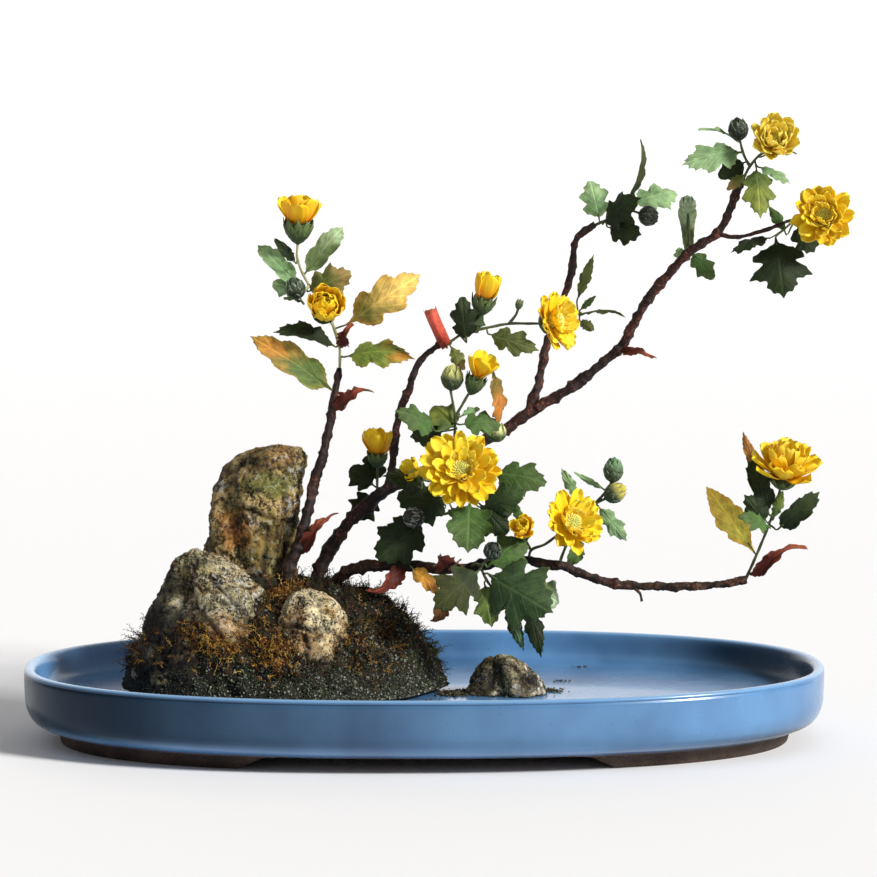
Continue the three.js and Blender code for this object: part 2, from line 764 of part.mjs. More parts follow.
function bud([, foot, direction, radius, height], grow = 0) {
  const outline = [
    [0, 0],
    [0.66, 0.14],
    [1, 0.45],
    [0.72, 0.8],
    [0, 1],
  ];
  const profile = outline.map(
    ([across, along]) =>
      new THREE.Vector2(
        across * (radius + grow),
        along * (height + 2 * grow) - grow,
      ),
  );
  return solidOf(aim(new THREE.LatheGeometry(profile, 6), vec(foot), vec(direction)));
}

// blooms

// Each bloom: the middle of its calyx's top, the way it looks, its rows of petals as [count, length,
// width, tilt from flat in degrees], the radius of its disc of florets, and the node of its calyx.
const BLOOMS = {
  bloom_top_left: {
    seat: [-53.4, 20.8, 218],
    looks: [0.05, -0.1, 1],
    rows: [[6, 11.5, 8.6, 50], [3, 9.5, 7, 66]],
    disc: 3.4,
    calyx: ["spray_left", 6.4, 9.5],
  },
  bloom_left: {
    seat: [-42.6, 11.4, 180.5],
    looks: [0.12, -0.9, 0.45],
    rows: [[6, 12.5, 10, 44], [4, 10, 7.6, 62]],
    disc: 3.2,
    calyx: ["spray_left", 5, 5],
  },
  bloom_high: {
    seat: [25.5, 7.7, 186.5],
    looks: [0.25, -0.15, 0.95],
    rows: [[5, 10, 8, 62], [2, 9, 6, 76]],
    disc: 2.6,
    calyx: ["spray_high", 5.2, 8],
  },
  bloom_heart: {
    seat: [22, -3.5, 153.5],
    looks: [0.35, -0.2, 0.95],
    rows: [[4, 11, 8.4, 54]],
    disc: 1.8,
    calyx: ["spray_wing", 4.4, 8],
  },
  bloom_side: {
    seat: [52.9, 4.6, 176.8],
    looks: [0.78, -0.58, 0.22],
    rows: [[12, 12.5, 7.4, 12], [8, 9.5, 6.4, 42]],
    disc: 4.2,
    calyx: ["spray_high", 5.4, 4.5],
  },
  bloom_head: {
    seat: [145.7, -10.8, 252.3],
    looks: [0.06, -0.9, 0.43],
    rows: [[9, 12.3, 8, 32], [5, 9.5, 6.6, 58]],
    disc: 3.4,
    calyx: ["spray_head", 4.8, 4.5],
  },
  bloom_tip: {
    seat: [167.6, -10.6, 221.4],
    looks: [-0.1, -0.95, 0.25],
    rows: [[10, 13.2, 8.2, 16], [7, 10, 6.6, 46]],
    disc: 4.4,
    calyx: ["spray_tip", 5.6, 4.5],
  },
  bloom_back: {
    seat: [-19.8, 21, 118.4],
    looks: [0.05, 0.1, 1],
    rows: [[6, 10, 7.6, 42]],
    disc: 1.8,
    calyx: ["spray_back", 4.2, 6],
  },
  bloom_front: {
    seat: [15.2, -18.6, 114.5],
    looks: [0, -0.88, 0.47],
    rows: [[13, 16.6, 8, 8], [10, 13.4, 7.2, 28], [5, 9.4, 5.8, 52]],
    disc: 5,
    calyx: ["spray_front", 6, 4.5],
  },
  bloom_hidden: {
    seat: [-3.4, 1.8, 111.5],
    looks: [-0.6, -0.6, 0.5],
    rows: [[5, 7.6, 6.2, 36]],
    disc: 2,
    calyx: ["spray_front", 3.4, 3.6],
  },
  bloom_right: {
    seat: [60.8, -10, 91.2],
    looks: [0.42, -0.78, 0.46],
    rows: [[11, 13.4, 7.6, 13], [7, 10, 6.6, 44]],
    disc: 4.6,
    calyx: ["spray_pair", 5.8, 4.6],
  },
  bloom_small: {
    seat: [41.2, -17.6, 89.6],
    looks: [-0.05, -0.85, 0.5],
    rows: [[6, 7.6, 5.6, 48]],
    disc: 2.4,
    calyx: ["spray_pair", 3.6, 4],
  },
  bloom_end: {
    seat: [150.8, -18, 112],
    looks: [0.16, -0.35, 0.92],
    rows: [[10, 15.5, 8.2, 28], [6, 12, 7.4, 54]],
    disc: 4.4,
    calyx: ["spray_end", 5.6, 5],
  },
};

// A petal's outline, its narrow root last, as [share of the half width, share of the length].
const PETAL_OUTLINE = [
  [0.92, 0.52],
  [0.72, 0.88],
  [0, 1],
  [-0.72, 0.88],
  [-0.92, 0.52],
  [0, 0],
].map((corner) => new THREE.Vector2(...corner));

// One spoon-shaped petal from its root, its tip outwards and up.
function petal(root, outwards, inwardFace, length, width, grow) {
  const across = outwards.clone().cross(inwardFace);
  const sheet = new THREE.ExtrudeGeometry(new THREE.Shape(PETAL_OUTLINE), {
    depth: 1,
    bevelEnabled: false,
  });
  return solidOf(
    reshape(sheet, (side, along, level) => {
      const lift = 0.16 * length * along ** 2;
      return root
        .clone()
        .addScaledVector(outwards, along * (length + 2 * grow) - grow)
        .addScaledVector(across, side * (width / 2 + grow))
        .addScaledVector(inwardFace, lift + (level - 0.5) * (PETAL_THICKNESS + 2 * grow));
    }),
  );
}

function bloom({ seat, looks, rows, disc }, grow = 0) {
  const axis = vec(looks).normalize();
  const middle = vec(seat);
  const east = new THREE.Vector3(0, 0, 1).cross(axis);
  if (east.length() < 0.1) east.set(1, 0, 0);
  east.addScaledVector(axis, -east.dot(axis)).normalize();
  const north = axis.clone().cross(east);
  const receptacle = disc * 0.8;
  const height = 0.9 + 2 * PETAL_LAYER * rows.length;
  const profile = [
    new THREE.Vector2(0, -grow),
    new THREE.Vector2(receptacle + grow, -grow),
    new THREE.Vector2(disc + grow, height),
    new THREE.Vector2(0, height + disc * 0.5 + grow),
  ];
  const solids = [solidOf(aim(new THREE.LatheGeometry(profile, 6), middle, axis))];
  rows.forEach(([count, length, width, degrees], row) => {
    for (let i = 0; i < count; i++) {
      const wobble = Math.sin(i * 12.9898 + row * 78.233 + length * 3.7);
      const angle = ((i + row * 0.5 + wobble * 0.12) / count) * 2 * Math.PI;
      const tilt = THREE.MathUtils.degToRad(degrees + wobble * 3 + (i % 2 ? 4 : -4));
      const radial = east
        .clone()
        .multiplyScalar(Math.cos(angle))
        .addScaledVector(north, Math.sin(angle));
      const outwards = radial
        .clone()
        .multiplyScalar(Math.cos(tilt))
        .addScaledVector(axis, Math.sin(tilt));
      const inwardFace = radial
        .clone()
        .multiplyScalar(-Math.sin(tilt))
        .addScaledVector(axis, Math.cos(tilt));
      const root = middle
        .clone()
        .addScaledVector(radial, receptacle * (0.3 + 0.45 * Math.sin(tilt)))
        .addScaledVector(axis, 0.7 + (row * 2 + (i % 2)) * PETAL_LAYER);
      solids.push(petal(root, outwards, inwardFace, length * (1 + wobble * 0.05), width, grow));
    }
  });
  return join(solids);
}

// The green cup under a bloom, flat on top and clear of it by the gap.
function calyx({ seat, looks, calyx: [, radius, height] }, grow = 0) {
  const outline = [
    [0, -1],
    [0.8, -0.6],
    [1, 0],
    [0, 0],
  ];
  const profile = outline.map(
    ([across, along]) => new THREE.Vector2(across * (radius + grow), along * height),
  );
  const cup = new THREE.LatheGeometry(profile, 6);
  cup.translate(0, -GAP - 0.05 + grow, 0);
  return solidOf(aim(cup, vec(seat), vec(looks)));
}

// nodes

// Points every half millimetre on the axis of a rod that is drawn in steps of this length.
function axisPoints(path, step) {
  const [curve, steps] = curveOf(path, step);
  const corners = curve.getSpacedPoints(steps);
  const points = [];
  for (let i = 0; i < steps; i++) {
    const count = Math.ceil(corners[i].distanceTo(corners[i + 1]) * 2);
    for (let j = 0; j < count; j++) points.push(corners[i].clone().lerp(corners[i + 1], j / count));
  }
  return [...points, corners[steps]];
}

const nearest = (points, place) =>
  points.reduce((a, b) => (b.distanceTo(place) < a.distanceTo(place) ? b : a));

const woodAxes = Object.values(STEMS).flatMap(({ path }) => axisPoints(path, BARK_STEP));

// The stalks of each node, each but the first starting on the axis of an earlier one.
const TWIGS = {};
for (const [name, paths] of Object.entries(STALKS)) {
  const axes = [];
  TWIGS[name] = paths.map((path) => {
    const start = axes.length ? nearest(axes, vec(path[0])).toArray() : path[0];
    const twig = [start, ...path.slice(1)];
    axes.push(...axisPoints(twig, STALK_STEP));
    return twig;
  });
}
const twigAxes = (names) =>
  names.flatMap((name) => (TWIGS[name] ?? []).flatMap((path) => axisPoints(path, STALK_STEP)));

// Where the leaves of a node can spring from: its stalks outside the wood, or any wood and stalk.
function carriersOf(name) {
  const own = twigAxes([name]);
  if (!own.length) return [...woodAxes, ...twigAxes(Object.keys(TWIGS))];
  return own.filter((p) => nearest(woodAxes, p).distanceTo(p) > WOOD_CLEARANCE);
}

// A node of stalks, leaves, buds and cups, each leaf joined by its petiole to the nearest stalk.
function foliage(name, grow = 0) {
  const solids = (TWIGS[name] ?? []).map((path) =>
    rod(path, STALK_SIDES, STALK_STEP, () => STALK_RADIUS, grow),
  );
  const carriers = carriersOf(name);
  for (const leaf of LEAVES[name]) {
    solids.push(blade(leaf, nearest(carriers, vec(leaf[1])), grow));
  }
  for (const one of BUDS) if (one[0] === name) solids.push(bud(one, grow));
  for (const one of Object.values(BLOOMS)) {
    if (one.calyx[0] === name) solids.push(calyx(one, grow));
  }
  return join(solids);
}

const wood = (name, grow = 0) => join(WOOD[name].map((stem) => woodyStem(STEMS[stem], grow)));

// What each node is made by, in the order in which later ones give way to earlier ones.
const NODES = [
  ["tray", () => tray(), "glaze"],
  ...Object.keys(STONES).map((name) => [name, (grow) => stone(STONES[name], grow), "stone"]),
  ...Object.keys(WOOD).map((name) => [name, (grow) => wood(name, grow), "bark"]),
  ["soil_mound", () => soil(), "soil"],
  ...Object.keys(BLOOMS).map((name) => [name, (grow) => bloom(BLOOMS[name], grow), "petal"]),
  ...Object.keys(LEAVES).map((name) => [name, (grow) => foliage(name, grow), toneOf(name)]),
];

function toneOf(name) {
  if (name.startsWith("husk")) return "husk";
  if (name === "leaf_gold") return "gold";
  if (name === "leaf_lemon") return "lemon";
  return name.startsWith("leaf") ? "rust" : "green";
}

const FINISH = { glaze: [0.18, 0], stone: [0.85, 0], soil: [1, 0] };

function boxesMeet(a, b) {
  const one = a.boundingBox();
  const other = b.boundingBox();
  return [0, 1, 2].every((i) => one.min[i] < other.max[i] && other.min[i] < one.max[i]);
}

const group = new THREE.Group();
const placed = [];
for (const [name, make, colour] of NODES) {
  let solid = make(0);
  for (const other of placed) {
    if (!boxesMeet(solid, other.solid)) continue;
    if (solid.intersect(other.grown()).volume() > 0) solid = solid.subtract(other.grown());
  }
  solid = largest(solid);
  solid = solid.asOriginal().simplify(SLIVER);
  let grownSolid = null;
  placed.push({
    solid,
    grown: () => (grownSolid ??= make(GAP)),
  });
  const [roughness, metalness] = FINISH[colour] ?? [0.7, 0];
  const material = new THREE.MeshStandardMaterial({ color: COLOURS[colour], roughness, metalness });
  const mesh = new THREE.Mesh(geometryOf(solid), material);
  mesh.name = name;
  group.add(mesh);
}

// The origin is the middle of the whole object's box, at its lowest point.
const box = new THREE.Box3().setFromObject(group);
group.position.set(-(box.min.x + box.max.x) / 2, -(box.min.y + box.max.y) / 2, -box.min.z);

export default group;
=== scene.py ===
"""Dresses the chrysanthemum bonsai: the glazed tray, three weathered stones and a pebble, the mossy mound,
the knobbly stems, and every leaf, bud and bloom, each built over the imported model's own node.

The layout is in millimetres from the middle of the tray's foot, as in the part's own source. It goes into
the frame's metres as a mesh or the camera is made, in Assembly.build, Tray.build and Studio.place_camera."""
import logging
import math
from collections.abc import Callable, Iterator, Sequence
from contextlib import contextmanager
from dataclasses import dataclass, field, replace
from enum import Enum, IntEnum
from functools import lru_cache

import bmesh
import bpy
import numpy as np
from mathutils import Matrix, Vector, noise


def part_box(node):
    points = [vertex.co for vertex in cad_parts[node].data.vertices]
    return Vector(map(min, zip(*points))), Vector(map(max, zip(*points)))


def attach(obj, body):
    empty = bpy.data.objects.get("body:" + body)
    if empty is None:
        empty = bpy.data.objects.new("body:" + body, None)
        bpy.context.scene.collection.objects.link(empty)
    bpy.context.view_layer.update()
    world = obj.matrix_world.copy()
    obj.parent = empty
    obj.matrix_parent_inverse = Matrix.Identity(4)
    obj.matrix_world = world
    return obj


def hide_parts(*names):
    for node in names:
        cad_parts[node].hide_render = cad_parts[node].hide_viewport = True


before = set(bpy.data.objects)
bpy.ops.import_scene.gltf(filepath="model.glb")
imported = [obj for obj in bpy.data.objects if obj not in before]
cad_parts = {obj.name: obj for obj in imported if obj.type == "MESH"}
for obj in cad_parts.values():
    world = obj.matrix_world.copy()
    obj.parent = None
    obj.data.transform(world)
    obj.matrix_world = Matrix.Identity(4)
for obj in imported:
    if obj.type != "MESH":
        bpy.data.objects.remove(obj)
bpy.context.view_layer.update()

log = logging.getLogger("bonsai")

Array = np.ndarray
Point = tuple[float, float, float]
Colour = tuple[float, float, float, float]
Path = Sequence[Sequence[float]]
Random = np.random.Generator
SMALL_BALL = (18, 14)
TRAY_LOW, TRAY_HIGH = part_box("tray")
MIDDLE = np.array([(TRAY_LOW.x + TRAY_HIGH.x) / 2, (TRAY_LOW.y + TRAY_HIGH.y) / 2, 0.0])
MM = 0.001


# small tools


def linear(colour: str) -> Colour:
    """Turns an sRGB hex colour to linear.

    Args:
        colour: The colour as "#rrggbb".

    Returns:
        Red, green, blue and an alpha of 1.
    """
    channels = [int(colour[i : i + 2], 16) / 255 for i in (1, 3, 5)]
    red, green, blue = (c / 12.92 if c <= 0.04045 else ((c + 0.055) / 1.055) ** 2.4 for c in channels)
    return red, green, blue, 1.0


def shade(colour: str) -> Array:
    """The linear red, green and blue of a hex colour."""
    return np.array(linear(colour)[:3])


def blend(low: Array, high: Array, share: Array | float) -> Array:
    """Mixes two linear colours by one share, or by one for each point."""
    share = np.clip(np.asarray(share, float), 0, 1)[..., None]
    return low * (1 - share) + high * share


def unit(vectors: Array) -> Array:
    """Vectors at length 1."""
    return vectors / np.maximum(np.linalg.norm(vectors, axis=-1, keepdims=True), 1e-9)


def ease(values: Array, low: float, high: float) -> Array:
    """A smooth step from 0 at low to 1 at high."""
    share = np.clip((values - low) / (high - low), 0, 1)
    return share * share * (3 - 2 * share)


def square_to(axis: Array, vector: Array) -> Array | None:
    """The part of a vector that is square to a unit axis, at length 1, or None where the two nearly agree."""
    rest = vector - axis * (vector @ axis)
    return unit(rest) if np.linalg.norm(rest) > 0.2 * np.linalg.norm(vector) else None


def grain(points: Array, size: float, octaves: int = 4, seed: float = 0.0) -> Array:
    """Soft noise of about -1 to 1 at points, whose largest lumps have a size in millimetres."""
    places = (points / size + seed).tolist()
    return np.array([noise.fractal(Vector(place), 1.0, 2.0, octaves) for place in places])


def pick(piece: bpy.types.Object) -> None:
    """Selects one piece alone.

    Args:
        piece: The piece.
    """
    bpy.ops.object.select_all(action="DESELECT")
    piece.select_set(True)
    bpy.context.view_layer.objects.active = piece


def new_piece(add: Callable[..., set[str]], name: str, **sizes: object) -> bpy.types.Object:
    """Adds a primitive with nothing else selected.

    Args:
        add: The bpy.ops call that adds it.
        name: The piece's name.
        **sizes: What the call takes.

    Returns:
        The new object.
    """
    bpy.ops.object.select_all(action="DESELECT")
    add(**sizes)
    piece = bpy.context.active_object
    piece.name = name
    return piece


@contextmanager
def editing(piece: bpy.types.Object) -> Iterator[bmesh.types.BMesh]:
    """Edit mode on one piece, with nothing selected in it.

    Args:
        piece: The piece.

    Yields:
        The mesh as it is edited.
    """
    pick(piece)
    bpy.ops.object.mode_set(mode="EDIT")
    bpy.ops.mesh.select_all(action="DESELECT")
    yield bmesh.from_edit_mesh(piece.data)
    bpy.ops.object.mode_set(mode="OBJECT")


def face_outwards() -> None:
    """Turns every normal of the mesh in edit mode outwards."""
    bpy.ops.mesh.select_all(action="SELECT")
    bpy.ops.mesh.normals_make_consistent(inside=False)


def finish_with(piece: bpy.types.Object, kind: str, **settings: object) -> None:
    """Adds a modifier and applies it.

    Args:
        piece: The piece.
        kind: The modifier's type.
        **settings: Its settings.
    """
    modifier = piece.modifiers.new(kind.lower(), kind)
    for name, value in settings.items():
        setattr(modifier, name, value)
    pick(piece)
    bpy.ops.object.modifier_apply(modifier=modifier.name)


@dataclass(frozen=True)
class Blank:
    """A plain closed shape, modelled once, that copies are moulded from."""

    points: Array
    corners: Array
    sides: Array

    @classmethod
    def of(cls, piece: bpy.types.Object) -> "Blank":
        """Takes the shape of a modelled object, which is then removed.

        Args:
            piece: The object.

        Returns:
            The blank.
        """
        mesh = piece.data
        points = np.empty(len(mesh.vertices) * 3)
        mesh.vertices.foreach_get("co", points)
        corners = np.empty(len(mesh.loops), int)
        mesh.loops.foreach_get("vertex_index", corners)
        sides = np.array([face.loop_total for face in mesh.polygons])
        bpy.data.objects.remove(piece)
        bpy.data.meshes.remove(mesh)
        return cls(points.reshape(-1, 3), corners, sides)

    @property
    def angle(self) -> Array:
        """The angle of each point round Z."""
        return np.arctan2(self.points[:, 1], self.points[:, 0])

    @property
    def level(self) -> Array:
        """How far up the skin of a ball each point is, from 0 to 1."""
        return 1 - np.arccos(np.clip(self.points[:, 2], -1, 1)) / math.pi

    @property
    def share(self) -> Array:
        """How far along a rod each point is, from 0 to 1."""
        return self.points[:, 2] + 0.5


@lru_cache(maxsize=None)
def rod_blank(sides: int, rounds: int) -> Blank:
    """A closed rod of radius 1 along Z, with rounds times rounds rings of faces.

    Args:
        sides: Its sides.
        rounds: Into how many lengths it is cut, twice over.

    Returns:
        The blank.
    """
    add = bpy.ops.mesh.primitive_cylinder_add
    rod = new_piece(add, "rod", vertices=sides, radius=1, depth=1, end_fill_type="TRIFAN")
    for _ in range(2):
        with editing(rod) as mesh:
            bpy.ops.mesh.select_mode(type="EDGE")
            for edge in mesh.edges:
                low, high = edge.verts
                edge.select_set(abs(low.co.z - high.co.z) > 1e-6)
            bpy.ops.mesh.subdivide(number_cuts=rounds - 1)
    return Blank.of(rod)


@lru_cache(maxsize=None)
def ball_blank(sides: int, rings: int) -> Blank:
    """A ball of radius 1."""
    add = bpy.ops.mesh.primitive_uv_sphere_add
    return Blank.of(new_piece(add, "ball", segments=sides, ring_count=rings, radius=1))


@lru_cache(maxsize=None)
def crumb_blank() -> Blank:
    """A faceted crumb of radius 1, with 20 faces."""
    add = bpy.ops.mesh.primitive_ico_sphere_add
    return Blank.of(new_piece(add, "crumb", subdivisions=1, radius=1))


@lru_cache(maxsize=None)
def sheet_blank(across: int, along: int) -> Blank:
    """A closed sheet from -1 to 1 across X, along Y, and through its thickness on Z.

    Args:
        across: Its faces across.
        along: Its faces along.

    Returns:
        The blank.
    """
    add = bpy.ops.mesh.primitive_grid_add
    sheet = new_piece(add, "sheet", x_subdivisions=across, y_subdivisions=along, size=2)
    finish_with(sheet, "SOLIDIFY", thickness=2.0, offset=0.0)
    return Blank.of(sheet)


@lru_cache(maxsize=None)
def needle_blank() -> Blank:
    """A three-sided needle of radius 1 at its foot, from 0 to 1 along Z.

    Returns:
        The blank.
    """
    add = bpy.ops.mesh.primitive_cone_add
    needle = new_piece(add, "needle", vertices=3, radius1=1, radius2=0, depth=1, location=(0, 0, 0.5))
    made = Blank.of(needle)
    return replace(made, points=made.points + (0, 0, 0.5))


class Assembly:
    """Moulded copies of blanks that become one piece, and the random draws that tell them apart."""

    def __init__(self, random: Random | None = None) -> None:
        """Starts empty.

        Args:
            random: Where the copies' small differences come from.
        """
        self.random = random
        self.copies: list[tuple[Array, ...]] = []
        self.count = 0

    def add(self, blank: Blank, points: Array, tint: Array, finish: int = 0, flat: Array | None = None) -> None:
        """Adds one moulded copy.

        Args:
            blank: The shape it was moulded from.
            points: Where its points went, in layout millimetres.
            tint: Its linear colour, or one for each point.
            finish: The number of its material.
            flat: Where each point lies on the flattened shape, for patterns that follow it.
        """
        number = len(points)
        tints = np.broadcast_to(tint, (number, 3))
        flat = np.zeros((number, 2)) if flat is None else flat
        finishes = np.full(len(blank.sides), finish)
        self.copies.append((points, blank.corners + self.count, blank.sides, finishes, tints, flat))
        self.count += number

    def build(
        self, name: str, materials: Sequence[bpy.types.Material], smooth: bool = True
    ) -> bpy.types.Object:
        """Makes the piece, in the frame's metres.

        Args:
            name: The piece's name.
            materials: Its materials, in the order of their numbers.
            smooth: Whether its faces are shaded smooth.

        Returns:
            The piece.
        """
        points, corners, sides, finishes, tints, flat = map(np.concatenate, zip(*self.copies))
        mesh = bpy.data.meshes.new(name)
        mesh.vertices.add(len(points))
        mesh.vertices.foreach_set("co", (points * MM + MIDDLE).ravel())
        mesh.loops.add(len(corners))
        mesh.loops.foreach_set("vertex_index", corners)
        mesh.polygons.add(len(sides))
        mesh.polygons.foreach_set("loop_start", np.concatenate([[0], np.cumsum(sides)[:-1]]))
        mesh.polygons.foreach_set("material_index", finishes)
        mesh.polygons.foreach_set("use_smooth", np.full(len(sides), smooth))
        mesh.update(calc_edges=True)
        colour = mesh.color_attributes.new("tint", "FLOAT_COLOR", "POINT")
        colour.data.foreach_set("color", np.hstack([tints, np.ones((len(tints), 1))]).ravel())
        mesh.uv_layers.new(name="flat").data.foreach_set("uv", flat[corners].ravel())
        for material in materials:
            mesh.materials.append(material)
        piece = bpy.data.objects.new(name, mesh)
        bpy.context.scene.collection.objects.link(piece)
        with editing(piece):
            face_outwards()
        return piece


def hand_over(piece: bpy.types.Object, slot: str, *nodes: str) -> None:
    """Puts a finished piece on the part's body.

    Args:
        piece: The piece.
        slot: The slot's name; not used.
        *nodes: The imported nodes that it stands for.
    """
    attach(piece, "root")
    if nodes:
        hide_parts(*nodes)
    log.info("%s: %d faces", piece.name, len(piece.data.polygons))


def smooth_path(points: Path, count: int) -> Array:
    """The centripetal Catmull-Rom curve through points, in any number of dimensions.

    Args:
        points: The points.
        count: How many points it is drawn with.

    Returns:
        Points on the curve, evenly spaced.
    """
    knots = np.array(points, float)
    knots = np.vstack([2 * knots[0] - knots[1], knots, 2 * knots[-1] - knots[-2]])
    steps = np.sqrt(np.linalg.norm(np.diff(knots, axis=0), axis=1))
    dense = []
    weight = np.linspace(0, 1, 24, endpoint=False)[:, None]
    for i in range(1, len(knots) - 2):
        before, here, after, next_ = knots[i - 1 : i + 3]
        one, two, three = steps[i - 1 : i + 2]
        leave = ((here - before) / one - (after - before) / (one + two) + (after - here) / two) * two
        reach = ((after - here) / two - (next_ - here) / (two + three) + (next_ - after) / three) * two
        square = 3 * (after - here) - 2 * leave - reach
        cube = 2 * (here - after) + leave + reach
        dense.append(here + leave * weight + square * weight**2 + cube * weight**3)
    dense.append(knots[-2:-1])
    path = np.concatenate(dense)
    length = np.concatenate([[0], np.cumsum(np.linalg.norm(np.diff(path, axis=0), axis=1))])
    places = np.linspace(0, length[-1], count)
    return np.stack([np.interp(places, length, column) for column in path.T], axis=1)


class Spine:
    """A smooth line with a frame at each place, which a rod is bent along."""

    def __init__(self, points: Path, count: int = 240) -> None:
        """Draws the line and carries one frame along it without twist.

        Args:
            points: The points that it passes through.
            count: How many places it has.
        """
        self.places = smooth_path(points, count)
        self.length = float(np.linalg.norm(np.diff(self.places, axis=0), axis=1).sum())
        ways = unit(np.gradient(self.places, axis=0))
        side = square_to(ways[0], np.array([0.0, 0.0, 1.0]))
        if side is None:
            side = square_to(ways[0], np.array([0.0, 1.0, 0.0]))
        sides = []
        for way in ways:
            side = unit(side - way * (side @ way))
            sides.append(side)
        self.table = np.hstack([self.places, np.array(sides), np.cross(ways, np.array(sides))])
        self.shares = np.linspace(0, 1, count)

    def skin(self, blank: Blank, radius: Array | float) -> Array:
        """Bends a rod blank along the line.

        Args:
            blank: The rod blank.
            radius: The radius at each of its points, in millimetres.

        Returns:
            Where its points go.
        """
        share = blank.share
        rows = np.stack([np.interp(share, self.shares, column) for column in self.table.T], axis=1)
        around = blank.points[:, :1] * rows[:, 3:6] + blank.points[:, 1:2] * rows[:, 6:9]
        return rows[:, :3] + around * np.broadcast_to(radius, share.shape)[:, None]


def nearest(places: Array, point: Sequence[float]) -> Array:
    """The one of some places that is nearest to a point."""
    return places[np.argmin(np.linalg.norm(places - np.array(point, float), axis=1))]


# finishes


class Surface:
    """A new material: its shader, and the place on the piece in millimetres, which its patterns read."""

    def __init__(self, name: str, shader: dict[str, float | Colour]) -> None:
        """Makes the material with its shader's constant values.

        Args:
            name: The material's name.
            shader: Values that are the same all over, by socket.
        """
        self.material = bpy.data.materials.new(name)
        self.material.use_nodes = True
        self.tree = self.material.node_tree
        self.shader = self.tree.nodes["Principled BSDF"]
        for socket, value in shader.items():
            self.shader.inputs[socket].default_value = value
        place = self.node("TexCoord", out="Object")
        self.mm = self.node("VectorMath", {0: place, "Scale": 1 / MM}, operation="SCALE")

    def node(
        self,
        kind: str,
        inputs: dict[int | str, object] | None = None,
        out: int | str = 0,
        stops: Sequence[tuple[float, str]] = (),
        **settings: object,
    ) -> bpy.types.NodeSocket:
        """Adds a node with its settings and links.

        Args:
            kind: The node's type after ShaderNode.
            inputs: What goes into its sockets: another node's output, or a value.
            out: The output that is wanted.
            stops: A colour ramp's places and hex colours.
            **settings: Its other settings.

        Returns:
            The output.
        """
        made = self.tree.nodes.new("ShaderNode" + kind)
        for name, value in settings.items():
            setattr(made, name, value)
        for socket, value in (inputs or {}).items():
            if isinstance(value, bpy.types.NodeSocket):
                self.tree.links.new(value, made.inputs[socket])
            else:
                made.inputs[socket].default_value = value
        if stops:
            ramp = made.color_ramp.elements
            for place, _ in stops[1:-1]:
                ramp.new(place)
            for element, (place, colour) in zip(ramp, stops):
                element.position = place
                element.color = linear(colour)
        return made.outputs[out]

    def wear(self, **sockets: bpy.types.NodeSocket) -> bpy.types.Material:
        """Links patterns to the shader.

        Args:
            **sockets: Patterns by the shader's socket, with _ for a space.

        Returns:
            The finished material.
        """
        for name, source in sockets.items():
            self.tree.links.new(source, self.shader.inputs[name.replace("_", " ")])
        return self.material


@dataclass(frozen=True)
class GlazedStoneware:
    """Stoneware dipped in a soft blue glaze: a thick glassy coat with darker pooled clouds, a paler lip that is
    partly thin glaze and partly painted highlight, and a brown line above the bare foot. Painted shade comes in
    through each point's tint."""

    body: str = "#5B8CBC"
    pooled: str = "#426A96"
    thin: str = "#86B0D8"
    iron: str = "#33475E"
    edge: str = "#5A4334"
    cloud: float = 45.0
    speck: float = 0.9
    edge_height: float = 6.0
    edge_width: float = 1.6
    lip_height: float = 30.4
    lip_width: float = 0.9

    def material(self) -> bpy.types.Material:
        """The glaze, with clouds in its colour, fine dark iron specks and a faint ripple.

        Returns:
            The material.
        """
        made = Surface("blue_glazed_stoneware", {"IOR": 1.52, "Coat Roughness": 0.06})
        height = made.node("SeparateXYZ", {0: made.mm}, 2)
        cloud = made.node("TexNoise", {"Vector": made.mm, "Scale": 1 / self.cloud, "Detail": 3.0})
        speck = made.node("TexNoise", {"Vector": made.mm, "Scale": 1 / self.speck, "Detail": 1.0})
        dots = made.node("MapRange", {0: speck, 1: 0.71, 2: 0.76, 3: 0.0, 4: 0.45})
        # paler lip: partly the glaze thinning over the edge, partly a painted highlight on the lip's top
        low, high = self.lip_height, self.lip_height + self.lip_width
        lip = made.node("MapRange", {0: height, 1: low, 2: high, 3: 0.0, 4: 0.75})
        wander = made.node("MapRange", {0: cloud, 3: -0.5, 4: 0.5})
        wavy = made.node("Math", {0: height, 1: wander}, operation="ADD")
        low, high = self.edge_height, self.edge_height + self.edge_width
        rim = made.node("MapRange", {0: wavy, 1: low, 2: high, 3: 0.9, 4: 0.0})
        colour = made.node("ValToRGB", {0: cloud}, stops=[(0.3, self.pooled), (0.62, self.body)])
        for share, paint in ((dots, self.iron), (lip, self.thin), (rim, self.edge)):
            colour = made.node("Mix", {0: share, 6: colour, 7: linear(paint)}, 2, data_type="RGBA")
        # the tint carries the tray's painted shade, which also lowers the specular level and the coat there
        tint = made.node("Attribute", attribute_name="tint")
        colour = made.node("Mix", {0: 1.0, 6: colour, 7: tint}, 2, data_type="RGBA", blend_type="MULTIPLY")
        gloss = made.node("MapRange", {0: cloud, 3: 0.2, 4: 0.32})
        ripple = made.node("Bump", {"Strength": 0.12, "Distance": 0.0006, "Height": cloud})
        bright = made.node("SeparateXYZ", {0: tint})
        mirror = made.node("MapRange", {0: bright, 1: 0.2, 2: 0.8, 3: 0.1, 4: 0.5})
        coat = made.node("MapRange", {0: bright, 1: 0.3, 2: 0.9, 3: 0.02, 4: 0.3})
        return made.wear(
            Base_Color=colour, Roughness=gloss, Normal=ripple, Specular_IOR_Level=mirror, Coat_Weight=coat
        )


